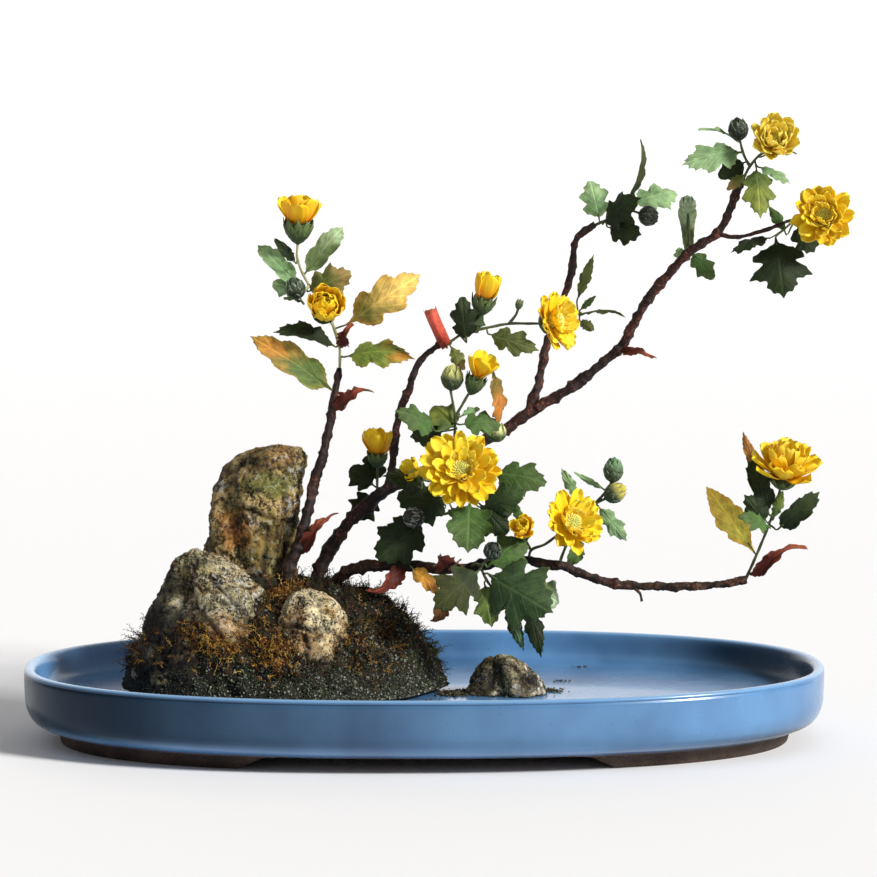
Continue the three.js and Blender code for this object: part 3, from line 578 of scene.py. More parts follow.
@dataclass(frozen=True)
class BareClay:
    """The same stoneware left unglazed and fired dark: matt, gritty, near-black brown."""

    dark: str = "#241B17"
    light: str = "#57463C"
    grit: float = 0.8
    cloud: float = 14.0

    def material(self) -> bpy.types.Material:
        """The clay, with its grit in colour and relief.

        Returns:
            The material.
        """
        made = Surface("unglazed_stoneware_clay", {"Roughness": 0.82, "IOR": 1.45})
        grit = made.node("TexNoise", {"Vector": made.mm, "Scale": 1 / self.grit, "Detail": 5.0})
        cloud = made.node("TexNoise", {"Vector": made.mm, "Scale": 1 / self.cloud, "Detail": 2.0})
        both = made.node("Math", {0: grit, 1: cloud}, operation="MULTIPLY")
        colour = made.node("ValToRGB", {0: both}, stops=[(0.12, self.dark), (0.42, self.light)])
        bump = made.node("Bump", {"Strength": 0.5, "Distance": 0.0003, "Height": grit})
        return made.wear(Base_Color=colour, Normal=bump)


@dataclass(frozen=True)
class WeatheredStone:
    """A coarse weathered stone: a cream ground with ochre stains, crowded black flecks, white crusts and
    green film; its tint brings painted shade into its pits and down its shaded side, and darkens it towards its
    feet. Its pattern sizes are in millimetres."""

    name: str
    ground: str = "#AA9C78"
    stain: str = "#80602F"
    dark: str = "#2E281B"
    crust: str = "#DCD8CC"
    film: str = "#535F36"
    black: str = "#15140F"
    stain_size: float = 9.0
    crust_size: float = 5.0
    film_size: float = 16.0
    crowd_size: float = 8.0
    fleck: float = 1.15
    fleck_share: float = 0.53
    film_amount: float = 0.5

    def material(self) -> bpy.types.Material:
        """The stone, from its own tint, stains of 9 mm, crusts of 5 mm and flecks of about 1 mm.

        Returns:
            The material.
        """
        made = Surface(self.name, {"Roughness": 0.88, "IOR": 1.5})
        sockets = ("Scale", "Detail", "Roughness", "Distortion")
        kinds = (
            (1 / self.stain_size, 8.0, 0.68, 0.5),
            (1 / self.crust_size, 7.0, 0.7, 0.8),
            (1 / self.fleck, 4.0, 0.65, 0.9),
            (1 / self.film_size, 5.0, 0.5, 0.0),
            (1 / self.crowd_size, 3.0, 0.5, 0.0),
        )
        patch, pale, fleck, green, crowd = (
            made.node("TexNoise", {"Vector": made.mm, **dict(zip(sockets, values))}) for values in kinds
        )
        stops = [(0.34, self.dark), (0.42, self.stain), (0.5, self.ground), (0.6, self.ground)]
        colour = made.node("ValToRGB", {0: patch}, stops=[*stops, (0.68, self.stain)])
        crusts = made.node("MapRange", {0: pale, 1: 0.54, 2: 0.6, 3: 0.0, 4: 0.85})
        filmed = made.node("MapRange", {0: green, 1: 0.5, 2: 0.62, 3: 0.0, 4: self.film_amount})
        leaning = made.node("MapRange", {0: crowd, 1: 0.3, 2: 0.7, 3: -0.07, 4: 0.09})
        crowded = made.node("Math", {0: fleck, 1: leaning}, operation="ADD")
        low = self.fleck_share
        dots = made.node("MapRange", {0: crowded, 1: low, 2: low + 0.04, 3: 0.0, 4: 0.93})
        for share, paint in ((crusts, self.crust), (filmed, self.film), (dots, self.black)):
            colour = made.node("Mix", {0: share, 6: colour, 7: linear(paint)}, 2, data_type="RGBA")
        tint = made.node("Attribute", attribute_name="tint")
        colour = made.node("Mix", {0: 1.0, 6: colour, 7: tint}, 2, data_type="RGBA", blend_type="MULTIPLY")
        height = made.node("Math", {0: pale, 1: crowded}, operation="SUBTRACT")
        bump = made.node("Bump", {"Strength": 0.9, "Distance": 0.0009, "Height": height})
        return made.wear(Base_Color=colour, Normal=bump)


@dataclass(frozen=True)
class TintedMatter:
    """A matt natural stuff that takes its colour from each copy's own tint: earth, grit, moss or florets."""

    name: str
    size: float
    roughness: float
    depth: float
    contrast: float = 0.5

    def material(self) -> bpy.types.Material:
        """The stuff, its tint broken up by lumps of its own size.

        Returns:
            The material.
        """
        made = Surface(self.name, {"Roughness": self.roughness, "IOR": 1.45})
        tint = made.node("Attribute", attribute_name="tint")
        lump = made.node("TexNoise", {"Vector": made.mm, "Scale": 1 / self.size, "Detail": 5.0})
        low, high = 1 - self.contrast, 1 + self.contrast
        light = made.node("MapRange", {0: lump, 1: 0.3, 2: 0.7, 3: low, 4: high})
        colour = made.node("VectorMath", {0: tint, "Scale": light}, operation="SCALE")
        bump = made.node("Bump", {"Strength": 0.6, "Distance": self.depth * MM, "Height": lump})
        return made.wear(Base_Color=colour, Normal=bump)


@dataclass(frozen=True)
class OldBark:
    """The thin bark of an old chrysanthemum stem: dark red-brown, cracked into small scales with paler,
    redder edges, dull with a slight waxy gleam."""

    dark: str = "#100806"
    middle: str = "#331A12"
    light: str = "#71493A"
    scale: float = 1.3

    def material(self) -> bpy.types.Material:
        """The bark, with scales of about 1.3 mm and finer grain.

        Returns:
            The material.
        """
        made = Surface("chrysanthemum_bark", {"IOR": 1.45})
        tint = made.node("Attribute", attribute_name="tint")
        crack = made.node(
            "TexNoise",
            {"Vector": made.mm, "Scale": 1 / self.scale, "Detail": 4.0, "Roughness": 0.65, "Distortion": 0.7},
        )
        stops = [(0.42, self.dark), (0.55, self.middle), (0.72, self.light)]
        ramp = made.node("ValToRGB", {0: crack}, stops=stops)
        colour = made.node("Mix", {0: 1.0, 6: ramp, 7: tint}, 2, data_type="RGBA", blend_type="MULTIPLY")
        rough = made.node("MapRange", {0: crack, 3: 0.55, 4: 0.85})
        bump = made.node("Bump", {"Strength": 0.8, "Distance": 0.0004, "Height": crack})
        return made.wear(Base_Color=colour, Roughness=rough, Normal=bump)


@dataclass(frozen=True)
class LeafSkin:
    """A chrysanthemum leaf: thin and finely haired, so it looks like matt velvet, with a sunken midrib and
    side veins that run out into the lobes, and a fine net between them."""

    name: str
    roughness: float = 0.6
    sheen: float = 0.03
    glow: float = 0.08
    vein_gap: float = 0.19
    vein_slant: float = 0.36
    net: float = 1.1
    mottle: float = 3.2

    def material(self) -> bpy.types.Material:
        """The skin, with veins from its flattened shape and mottling from its place.

        Returns:
            The material.
        """
        made = Surface(
            self.name,
            {
                "Sheen Weight": self.sheen,
                "Sheen Roughness": 0.45,
                "Sheen Tint": linear("#D8DCB8"),
                "IOR": 1.42,
                "Specular IOR Level": 0.3,
                "Subsurface Weight": self.glow,
                "Subsurface Radius": (1.0, 1.0, 0.25),
                "Subsurface Scale": 0.0012,
            },
        )
        tint = made.node("Attribute", attribute_name="tint")
        flat = made.node("UVMap", uv_map="flat")
        along, across = (made.node("SeparateXYZ", {0: flat}, way) for way in (0, 1))
        off_rib = made.node("Math", {0: across}, operation="ABSOLUTE")
        rib = made.node("MapRange", {0: off_rib, 1: 0.015, 2: 0.075, 3: 1.0, 4: 0.0})
        slant = made.node("Math", {0: off_rib, 1: -self.vein_slant, 2: along}, operation="MULTIPLY_ADD")
        spaced = made.node("Math", {0: slant, 1: self.vein_gap}, operation="DIVIDE")
        way = made.node("Math", {0: spaced, 1: 0.5}, operation="PINGPONG")
        side = made.node("MapRange", {0: way, 1: 0.02, 2: 0.12, 3: 0.75, 4: 0.0})
        veins = made.node("Math", {0: rib, 1: side}, operation="MAXIMUM")
        net = made.node("TexVoronoi", {"Vector": made.mm, "Scale": 1 / self.net}, feature="DISTANCE_TO_EDGE")
        mottle = made.node("TexNoise", {"Vector": made.mm, "Scale": 1 / self.mottle, "Detail": 4.0})
        light = made.node("MapRange", {0: mottle, 1: 0.3, 2: 0.7, 3: 0.66, 4: 1.28})
        mottled = made.node("VectorMath", {0: tint, "Scale": light}, operation="SCALE")
        veined = made.node("MapRange", {0: veins, 3: 0.0, 4: 0.42})
        paler = made.node("VectorMath", {0: tint, "Scale": 1.9}, operation="SCALE")
        colour = made.node("Mix", {0: veined, 6: mottled, 7: paler}, 2, data_type="RGBA")
        puffed = made.node("MapRange", {0: net, 1: 0.0, 2: 0.3, 3: 0.0, 4: 0.5})
        height = made.node("Math", {0: puffed, 1: veins}, operation="SUBTRACT")
        rough = made.node("MapRange", {0: mottle, 3: self.roughness - 0.08, 4: self.roughness + 0.1})
        bump = made.node("Bump", {"Strength": 0.55, "Distance": 0.00025, "Height": height})
        return made.wear(Base_Color=colour, Roughness=rough, Normal=bump)


@dataclass(frozen=True)
class PetalSkin:
    """A ray petal: thin, silky and a little translucent, with fine grooves along it."""

    grooves: float = 9.0

    def material(self) -> bpy.types.Material:
        """The petal, with grooves and streaks from its flattened shape.

        Returns:
            The material.
        """
        made = Surface(
            "chrysanthemum_petal",
            {
                "Roughness": 0.5,
                "IOR": 1.4,
                "Specular IOR Level": 0.3,
                "Subsurface Weight": 0.3,
                "Subsurface Radius": (1.0, 0.72, 0.12),
                "Subsurface Scale": 0.0008,
            },
        )
        tint = made.node("Attribute", attribute_name="tint")
        flat = made.node("UVMap", uv_map="flat")
        drawn = made.node("Mapping", {0: flat, "Scale": (self.grooves, 1.2, 1.0)})
        streak = made.node("TexNoise", {"Vector": drawn, "Scale": 1.0, "Detail": 3.0})
        light = made.node("MapRange", {0: streak, 1: 0.3, 2: 0.7, 3: 0.84, 4: 1.08})
        colour = made.node("VectorMath", {0: tint, "Scale": light}, operation="SCALE")
        bump = made.node("Bump", {"Strength": 0.5, "Distance": 0.0003, "Height": streak})
        return made.wear(Base_Color=colour, Normal=bump)


@dataclass(frozen=True)
class PaleFloor:
    """A plain pale studio floor of matt paint, which sweeps up behind into a wall."""

    colour: str = "#F3F3F4"
    roller: float = 4.0

    def material(self) -> bpy.types.Material:
        """The paint, with a barely seen roller texture.

        Returns:
            The material.
        """
        made = Surface("matt_studio_paint", {"Roughness": 0.9, "Base Color": linear(self.colour)})
        roller = made.node("TexNoise", {"Vector": made.mm, "Scale": 1 / self.roller, "Detail": 2.0})
        return made.wear(Normal=made.node("Bump", {"Strength": 0.02, "Distance": 0.0002, "Height": roller}))


# the tray


@dataclass(frozen=True)
class Tray:
    """The shallow oval tray: one wall turned round an oval, with a lip, a line under it and a cut foot. Its
    arch has a half width at the bottom, one at the top, and a height."""

    length: float = 340.0
    width: float = 208.0
    oval: float = 2.31
    sides: int = 176
    floor: float = 19.0
    foot: float = 6.5
    glaze_line: float = 6.0
    arch: tuple[float, float, float] = (77.0, 65.0, 6.2)
    # painted shade: the height below which the tint darkens, and how dark the outer left end and the inner
    # right end are painted
    painted_shade_top: float = 31.4
    painted_left_shade: float = 0.8
    painted_right_shade: float = 0.72

    def section(self) -> Path:
        """The wall, from the middle underneath round the foot, wall and lip to the floor's middle.

        Returns:
            Distances in from the outline, with heights.
        """
        wall = smooth_path([(10.6, 6.2), (4, 9.4), (0.8, 15), (0.15, 22), (0, 28.7)], 16)
        inner = smooth_path([(5.2, 28.6), (6.0, 24.5), (7.4, 21.4), (11, 19.5), (16, self.floor)], 12)
        foot = [(60, self.foot), (26, self.foot), (22.7, 6.2), (22.2, 0.5), (21.7, 0), (15.7, 0), (15.2, 0.4)]
        foot += [(14.4, 3.4), (13.3, 5.5), (11.6, 5.7)]
        lip = [(0.1, 29.1), (0.5, 29.45), (0.5, 29.7), (0.08, 30.0), (0.0, 30.4), (0.25, 30.95), (0.8, 31.35)]
        lip += [(1.6, 31.5), (2.7, 31.45), (3.7, 31.15), (4.4, 30.6), (4.8, 29.8)]
        return [*foot, *wall.tolist(), *lip, *inner.tolist(), (40, self.floor), (75, self.floor)]

    def oval_point(self, angle: float, inset: float) -> tuple[float, float]:
        """A point of the oval.

        Args:
            angle: Where on it, in radians.
            inset: How far in from the outline, in millimetres.

        Returns:
            Its x and y.
        """
        power = 2 / self.oval
        across, deep = math.cos(angle), math.sin(angle)
        x = math.copysign(abs(across) ** power, across) * (self.length / 2 - inset)
        y = math.copysign(abs(deep) ** power, deep) * (self.width / 2 - inset)
        return x, y

    def even_angles(self) -> list[float]:
        """Angles whose points lie evenly spaced along the oval's rim.

        Returns:
            As many as the wall has sides.
        """
        angles = np.linspace(0, 2 * math.pi, 4001)
        rim = np.array([self.oval_point(angle, 0) for angle in angles])
        way = np.concatenate([[0], np.cumsum(np.linalg.norm(np.diff(rim, axis=0), axis=1))])
        return np.interp(np.linspace(0, way[-1], self.sides, endpoint=False), way, angles).tolist()

    def build(self) -> None:
        """Turns the wall ring by ring, cuts the arch through the foot, and glazes it."""
        add = bpy.ops.mesh.primitive_circle_add
        tray = new_piece(add, "tray_glazed", vertices=self.sides, radius=1, fill_type="NGON")
        angles = self.even_angles()
        with editing(tray) as mesh:
            bpy.ops.mesh.select_mode(type="FACE")
            bpy.ops.mesh.select_all(action="SELECT")
            for number, (inset, height) in enumerate(self.section()):
                if number:
                    bpy.ops.mesh.extrude_region_move()
                ring = [vertex for vertex in mesh.verts if vertex.select]
                ring.sort(key=lambda vertex: math.atan2(vertex.co.y, vertex.co.x) % (2 * math.pi))
                for vertex, angle in zip(ring, angles):
                    vertex.co = (*self.oval_point(angle, inset), height)
            face_outwards()
        cutter = self.arch_block()
        finish_with(tray, "BOOLEAN", operation="DIFFERENCE", object=cutter, solver="EXACT")
        bpy.data.objects.remove(cutter)
        tray.data.materials.clear()
        tray.data.materials.append(GlazedStoneware(edge_height=self.glaze_line).material())
        tray.data.materials.append(BareClay().material())
        for face in tray.data.polygons:
            face.material_index = int(face.center.z < self.foot + 0.1 and not self.on_glaze(face.center))
        self.paint_shade(tray.data)
        tray.data.transform(Matrix.Translation(Vector(MIDDLE.tolist())) @ Matrix.Scale(MM, 4))
        bpy.ops.object.shade_smooth_by_angle(angle=math.radians(50))
        hand_over(tray, "glaze", "tray")

    def paint_shade(self, mesh: bpy.types.Mesh) -> None:
        """Paints shade into the glaze's tint: outside round the left end, low on the outer wall and lightly
        over all of it, and inside round the right end.

        Args:
            mesh: The tray's mesh.
        """
        tint = mesh.color_attributes.new("tint", "FLOAT_COLOR", "POINT")
        points = np.empty(len(mesh.vertices) * 3)
        mesh.vertices.foreach_get("co", points)
        x, y, z = points.reshape(-1, 3).T
        half_x, half_y = self.length / 2, self.width / 2
        reach = (np.abs(x / half_x) ** self.oval + np.abs(y / half_y) ** self.oval) ** (1 / self.oval)
        below_lip = ease(self.painted_shade_top - z, 0, 2.0)
        outside = ease(reach, 0.965, 0.99) * below_lip
        inside = ease(0.985 - reach, 0, 0.01) * ease(reach, 0.8, 0.93)
        # painted shade round the outer left end and the inner right end
        left = ease(-x, -60, 165) * outside
        right = ease(x, 60, 165) * inside * below_lip
        light = (1 - self.painted_left_shade * left) * (1 - self.painted_right_shade * right)
        # painted shade low on the outer wall, down its left half and lightly over all of it
        light = light * (1 - 0.25 * outside * ease(17 - z, 0, 10))
        light = light * (1 - 0.24 * ease(-x, -150, 40) * outside) * (1 - 0.1 * outside)
        colours = np.column_stack([light**0.94, light**0.96, light, np.ones(len(light))])
        tint.data.foreach_set("color", colours.ravel())

    def on_glaze(self, place: Vector) -> bool:
        """Whether a low point is on the glazed wall, which ends just under its line."""
        return place.z > self.glaze_line - 0.15 and abs(place.z - self.foot) > 0.02

    def arch_block(self) -> bpy.types.Object:
        """The block that cuts the low arch, with its ogee ends, through the foot at front and back.

        Returns:
            The block, in layout millimetres.
        """
        bottom, top, height = self.arch
        right = [(bottom + 0.6, -1), (bottom + 0.3, 0), (bottom - 1.0, 0.9), (bottom - 3, 1.9)]
        right += [(bottom - 5.5, 3.0), (top + 4, height - 1.7), (top + 1, height - 0.6), (top - 4, height)]
        outline = right + [(-x, z) for x, z in reversed(right)]
        add = bpy.ops.mesh.primitive_circle_add
        block = new_piece(add, "foot_arch", vertices=len(outline), radius=1, fill_type="NGON")
        with editing(block) as mesh:
            for vertex, (x, z) in zip(list(mesh.verts), outline):
                vertex.co = (x, -self.width, z)
            bpy.ops.mesh.select_all(action="SELECT")
            bpy.ops.mesh.extrude_region_move(TRANSFORM_OT_translate={"value": (0, 2 * self.width, 0)})
            face_outwards()
        return block


# stones and soil


@dataclass(frozen=True)
class Stone:
    """One weathered stone: a skin over rings of height, middle x and y, and half x and y. Its cracks run
    from x, z to x, z, with a width and depth. Its patches lie at x, z, with a half width and height, a colour
    and a strength."""

    node: str
    rings: tuple[tuple[float, ...], ...]
    top: Point
    finish: WeatheredStone
    cracks: tuple[tuple[float, ...], ...]
    patches: tuple[tuple[object, ...], ...]
    phase: float
    dent: float
    sides: int = 160
    levels: int = 120
    rough: float = 1.5
    lump: float = 11.0
    ledge: float = 7.0
    pit: float = 2.6
    fine: float = 1.2

    def build(self) -> None:
        """Draws the skin, with its worn ribs, broken ledges, pits and cracks."""
        blank = ball_blank(self.sides, self.levels)
        angle, share, low = blank.angle, blank.level, self.rings[0]
        top_x, top_y, top = self.top
        stations = [(*low[:3], 0.0, 0.0), *self.rings, (top, top_x, top_y, 0.0, 0.0)]
        line = smooth_path(stations, 300)
        line[:, 3:] = np.maximum(line[:, 3:], 0)
        places = np.linspace(0, 1, len(line))
        height, mid_x, mid_y, half_x, half_y = (np.interp(share, places, column) for column in line.T)
        relief = (
            1 + self.dent * np.sin(3 * angle + self.phase + height * 0.05)
            + self.dent * 0.7 * np.sin(5 * angle - self.phase * 2 + height * 0.11)
            + self.dent * 0.5 * np.cos(8 * angle + height * 0.23)
        )
        around = np.stack([np.cos(angle) * half_x * relief, np.sin(angle) * half_y * relief], axis=1)
        points = np.column_stack([mid_x + around[:, 0], mid_y + around[:, 1], height])
        outwards = unit(np.column_stack([around, (share - 0.55) * 14]))
        lumps = grain(points, self.lump, 3, self.phase * 7)
        ledges = 1 - np.abs(grain(points * (1, 1, 1.6), self.ledge, 3, 9 + self.phase)) * 2
        pits = grain(points, self.pit, 3, 31 + self.phase)
        fine = grain(points, self.fine, 2, 3)
        cracks = ease(ledges, 0.78, 1.0)
        out = self.rough * (lumps * 1.1 - cracks * 0.7 + np.minimum(pits, 0) * 0.9 + fine * 0.35)
        for x0, z0, x1, z1, wide, deep in self.cracks:
            cut = self.near_line(points + lumps[:, None] * 1.5, (x0, z0), (x1, z1), wide)
            out = out - deep * cut
            cracks = np.maximum(cracks, cut)
        points = points + outwards * out[:, None] * np.minimum(1, share * 12)[:, None]
        points[:, 2] = np.maximum(points[:, 2], low[0])
        # painted shade in the cracks, pits and hollows
        dark = 1 - 0.55 * cracks - 0.6 * ease(-pits, 0.15, 0.6) - 0.25 * ease(-lumps, 0.1, 0.6)
        tint = self.stains_and_painted_shade(points, np.clip(dark, 0.15, 1))
        rock = Assembly()
        rock.add(blank, points, tint)
        hand_over(rock.build(f"{self.node}_rock", [self.finish.material()]), "stone", self.node)

    def stains_and_painted_shade(self, points: Array, light: Array) -> Array:
        """The stone's colour: its patches, which are stains and, along its shaded left side, painted shade, and
        darker towards its foot.

        Args:
            points: Points of the stone.
            light: How light each is: painted shade from its relief.

        Returns:
            The tint of each point.
        """
        tint = np.ones((len(points), 3)) * light[:, None]
        wander = grain(points, 8, 3, 60 + self.phase)
        for x, z, wide, high, colour, strength in self.patches:
            off = ((points[:, 0] - x) / wide) ** 2 + ((points[:, 2] - z) / high) ** 2
            share = ease(-(off + wander * 1.2), -1.3, -0.35) * strength
            tint = tint * blend(np.ones(3), np.array(colour), share)
        # darker towards the foot
        foot = ease(self.rings[1][0] - 2 - points[:, 2], 0, 16)
        return tint * blend(np.ones(3), np.array([0.4, 0.38, 0.26]), foot * 0.8)

    @staticmethod
    def near_line(points: Array, start: tuple[float, float], end: tuple[float, float], wide: float) -> Array:
        """How near points are to a line across the stone's front.

        Args:
            points: The points.
            start: The line's start, as x and z.
            end: Its end.
            wide: How wide it is.

        Returns:
            1 on the line and 0 away from it.
        """
        flat = points[:, [0, 2]] - start
        way = np.subtract(end, start)
        share = np.clip(flat @ way / (way @ way), 0, 1)
        off = np.linalg.norm(flat - np.outer(share, way), axis=1)
        return np.exp(-((off / wide) ** 2))


# The black patches are dark stains, and painted shade where they lie along the left edges of the pillar, the
# left stone and the right stone.
BLACK_AND_SHADE, BROWN, RUSTY = (0.14, 0.14, 0.12), (0.55, 0.4, 0.24), (0.78, 0.5, 0.24)
GREENED, WHITENED, OLIVED = (0.42, 0.56, 0.3), (1.3, 1.3, 1.32), (0.62, 0.6, 0.36)

STONES = (
    Stone(
        "stone_pillar",
        (
            (46, -74, 15, 20, 16), (66, -73, 15, 19.5, 16), (80, -73, 15, 19.5, 16), (92, -72, 15, 19, 15.5),
            (102, -70, 15.5, 18.5, 14.5), (111, -68, 16, 17, 13), (118, -65, 16, 13.5, 11),
            (122, -62.5, 16, 8.5, 7),
        ),
        (-62, 16, 123.5),
        WeatheredStone("pillar_stone", ground="#B69C64", fleck_share=0.55),
        (
            (-58.5, 103, -58, 62, 1.3, 2.4), (-88, 100, -57, 92, 1.2, 1.7), (-90, 108, -78, 116, 1.3, 1.4),
            (-66, 90, -69, 68, 1.2, 1.2),
        ),
        (
            # the black patches at x -89 and -94 are painted shade on the pillar's left side
            (-66, 119, 13, 6, BROWN, 0.9), (-89, 110, 8, 9, BLACK_AND_SHADE, 0.85), (-94, 84, 4.5, 26, BLACK_AND_SHADE, 0.8),
            (-67, 108, 10, 6, GREENED, 0.95), (-69, 101.5, 6, 3.5, WHITENED, 0.8),
            (-81.5, 90, 9.5, 8.5, RUSTY, 1.0), (-81.5, 89, 4, 4, BROWN, 0.9), (-65, 84, 8, 12, OLIVED, 0.9),
            (-58, 72, 7, 12, OLIVED, 1.0), (-55, 104, 3, 14, WHITENED, 0.6), (-81, 76, 9, 4, WHITENED, 0.6),
        ),
        phase=0.4,
        dent=0.085,
    ),
    Stone(
        "stone_left",
        (
            (25, -92, -8, 27.5, 21.5), (54, -90, -6, 25.5, 19), (63, -89, -5, 22.5, 16.5),
            (71, -92, -4, 16, 13), (77, -95.5, -3, 9.5, 9),
        ),
        (-97.5, -3, 81),
        WeatheredStone("left_stone", ground="#BDB08A", fleck_share=0.525, film_amount=0.35),
        (
            (-97, 78, -107, 44, 1.6, 1.2), (-90, 70, -72, 52, 1.1, 1.3), (-96, 60, -80, 40, 1.2, 1.5),
            (-76, 56, -70, 40, 1.2, 1.2),
        ),
        (
            # the black patches at x -112 are painted shade on the left stone's left side
            (-112, 58, 12, 24, BLACK_AND_SHADE, 0.9), (-104, 68, 5, 10, OLIVED, 0.9), (-93, 70, 4, 9, OLIVED, 0.7),
            (-88, 50, 10, 7, RUSTY, 0.6), (-80, 60, 8, 9, WHITENED, 0.4), (-72, 44, 7, 8, BROWN, 0.8),
            (-104, 38, 14, 8, BROWN, 0.9), (-112, 40, 17, 16, BLACK_AND_SHADE, 0.85), (-88, 36, 16, 6, BLACK_AND_SHADE, 0.6),
        ),
        phase=2.1,
        dent=0.1,
    ),
    Stone(
        "stone_right",
        (
            (25, -48, -20, 15.5, 12.5), (49, -47.5, -19, 15, 12.5), (57, -48, -18, 12.5, 10.5),
            (63, -49, -17, 8, 7),
        ),
        (-49.5, -17, 65.5),
        WeatheredStone("right_stone", ground="#E6D4A8", stain="#AA8446", film_amount=0.25),
        ((-58, 51, -38, 49.5, 1.1, 1.3), (-52, 47, -47, 34, 1.0, 1.0), (-44, 62, -42, 52, 0.9, 0.9)),
        (
            (-56, 55, 5, 7, RUSTY, 0.5), (-43, 56, 6, 5, WHITENED, 0.6), (-50, 44, 9, 6, RUSTY, 0.6),
            # the black patch at x -61 is painted shade on the right stone's left side
            (-61, 46, 3.5, 14, BLACK_AND_SHADE, 0.8), (-36, 44, 4, 12, BROWN, 0.8), (-49, 35, 13, 6, BLACK_AND_SHADE, 0.7),
        ),
        phase=4.4,
        dent=0.07,
        sides=120,
        levels=84,
        rough=0.8,
    ),
    Stone(
        "pebble",
        ((19.3, 36, -4, 16.5, 12), (23.5, 35.5, -4, 15, 11), (29.5, 34.5, -4, 11.5, 9), (34, 33, -4, 6.5, 5.5)),
        (32, -4, 36),
        WeatheredStone("pebble_stone", ground="#9C8F6C", stain="#6E5730", fleck_share=0.51, film_amount=0.6),
        ((30, 36, 27, 22, 0.9, 1.0), (36, 33, 42, 24, 0.9, 1.0)),
        (
            (35, 27, 6, 5, WHITENED, 0.9), (24, 24, 6, 6, BLACK_AND_SHADE, 0.7), (31, 34, 6, 3, OLIVED, 0.8),
            (44, 23, 5, 5, BLACK_AND_SHADE, 0.8),
        ),
        phase=3.3,
        dent=0.1,
        sides=112,
        levels=72,
        rough=0.8,
    ),
)


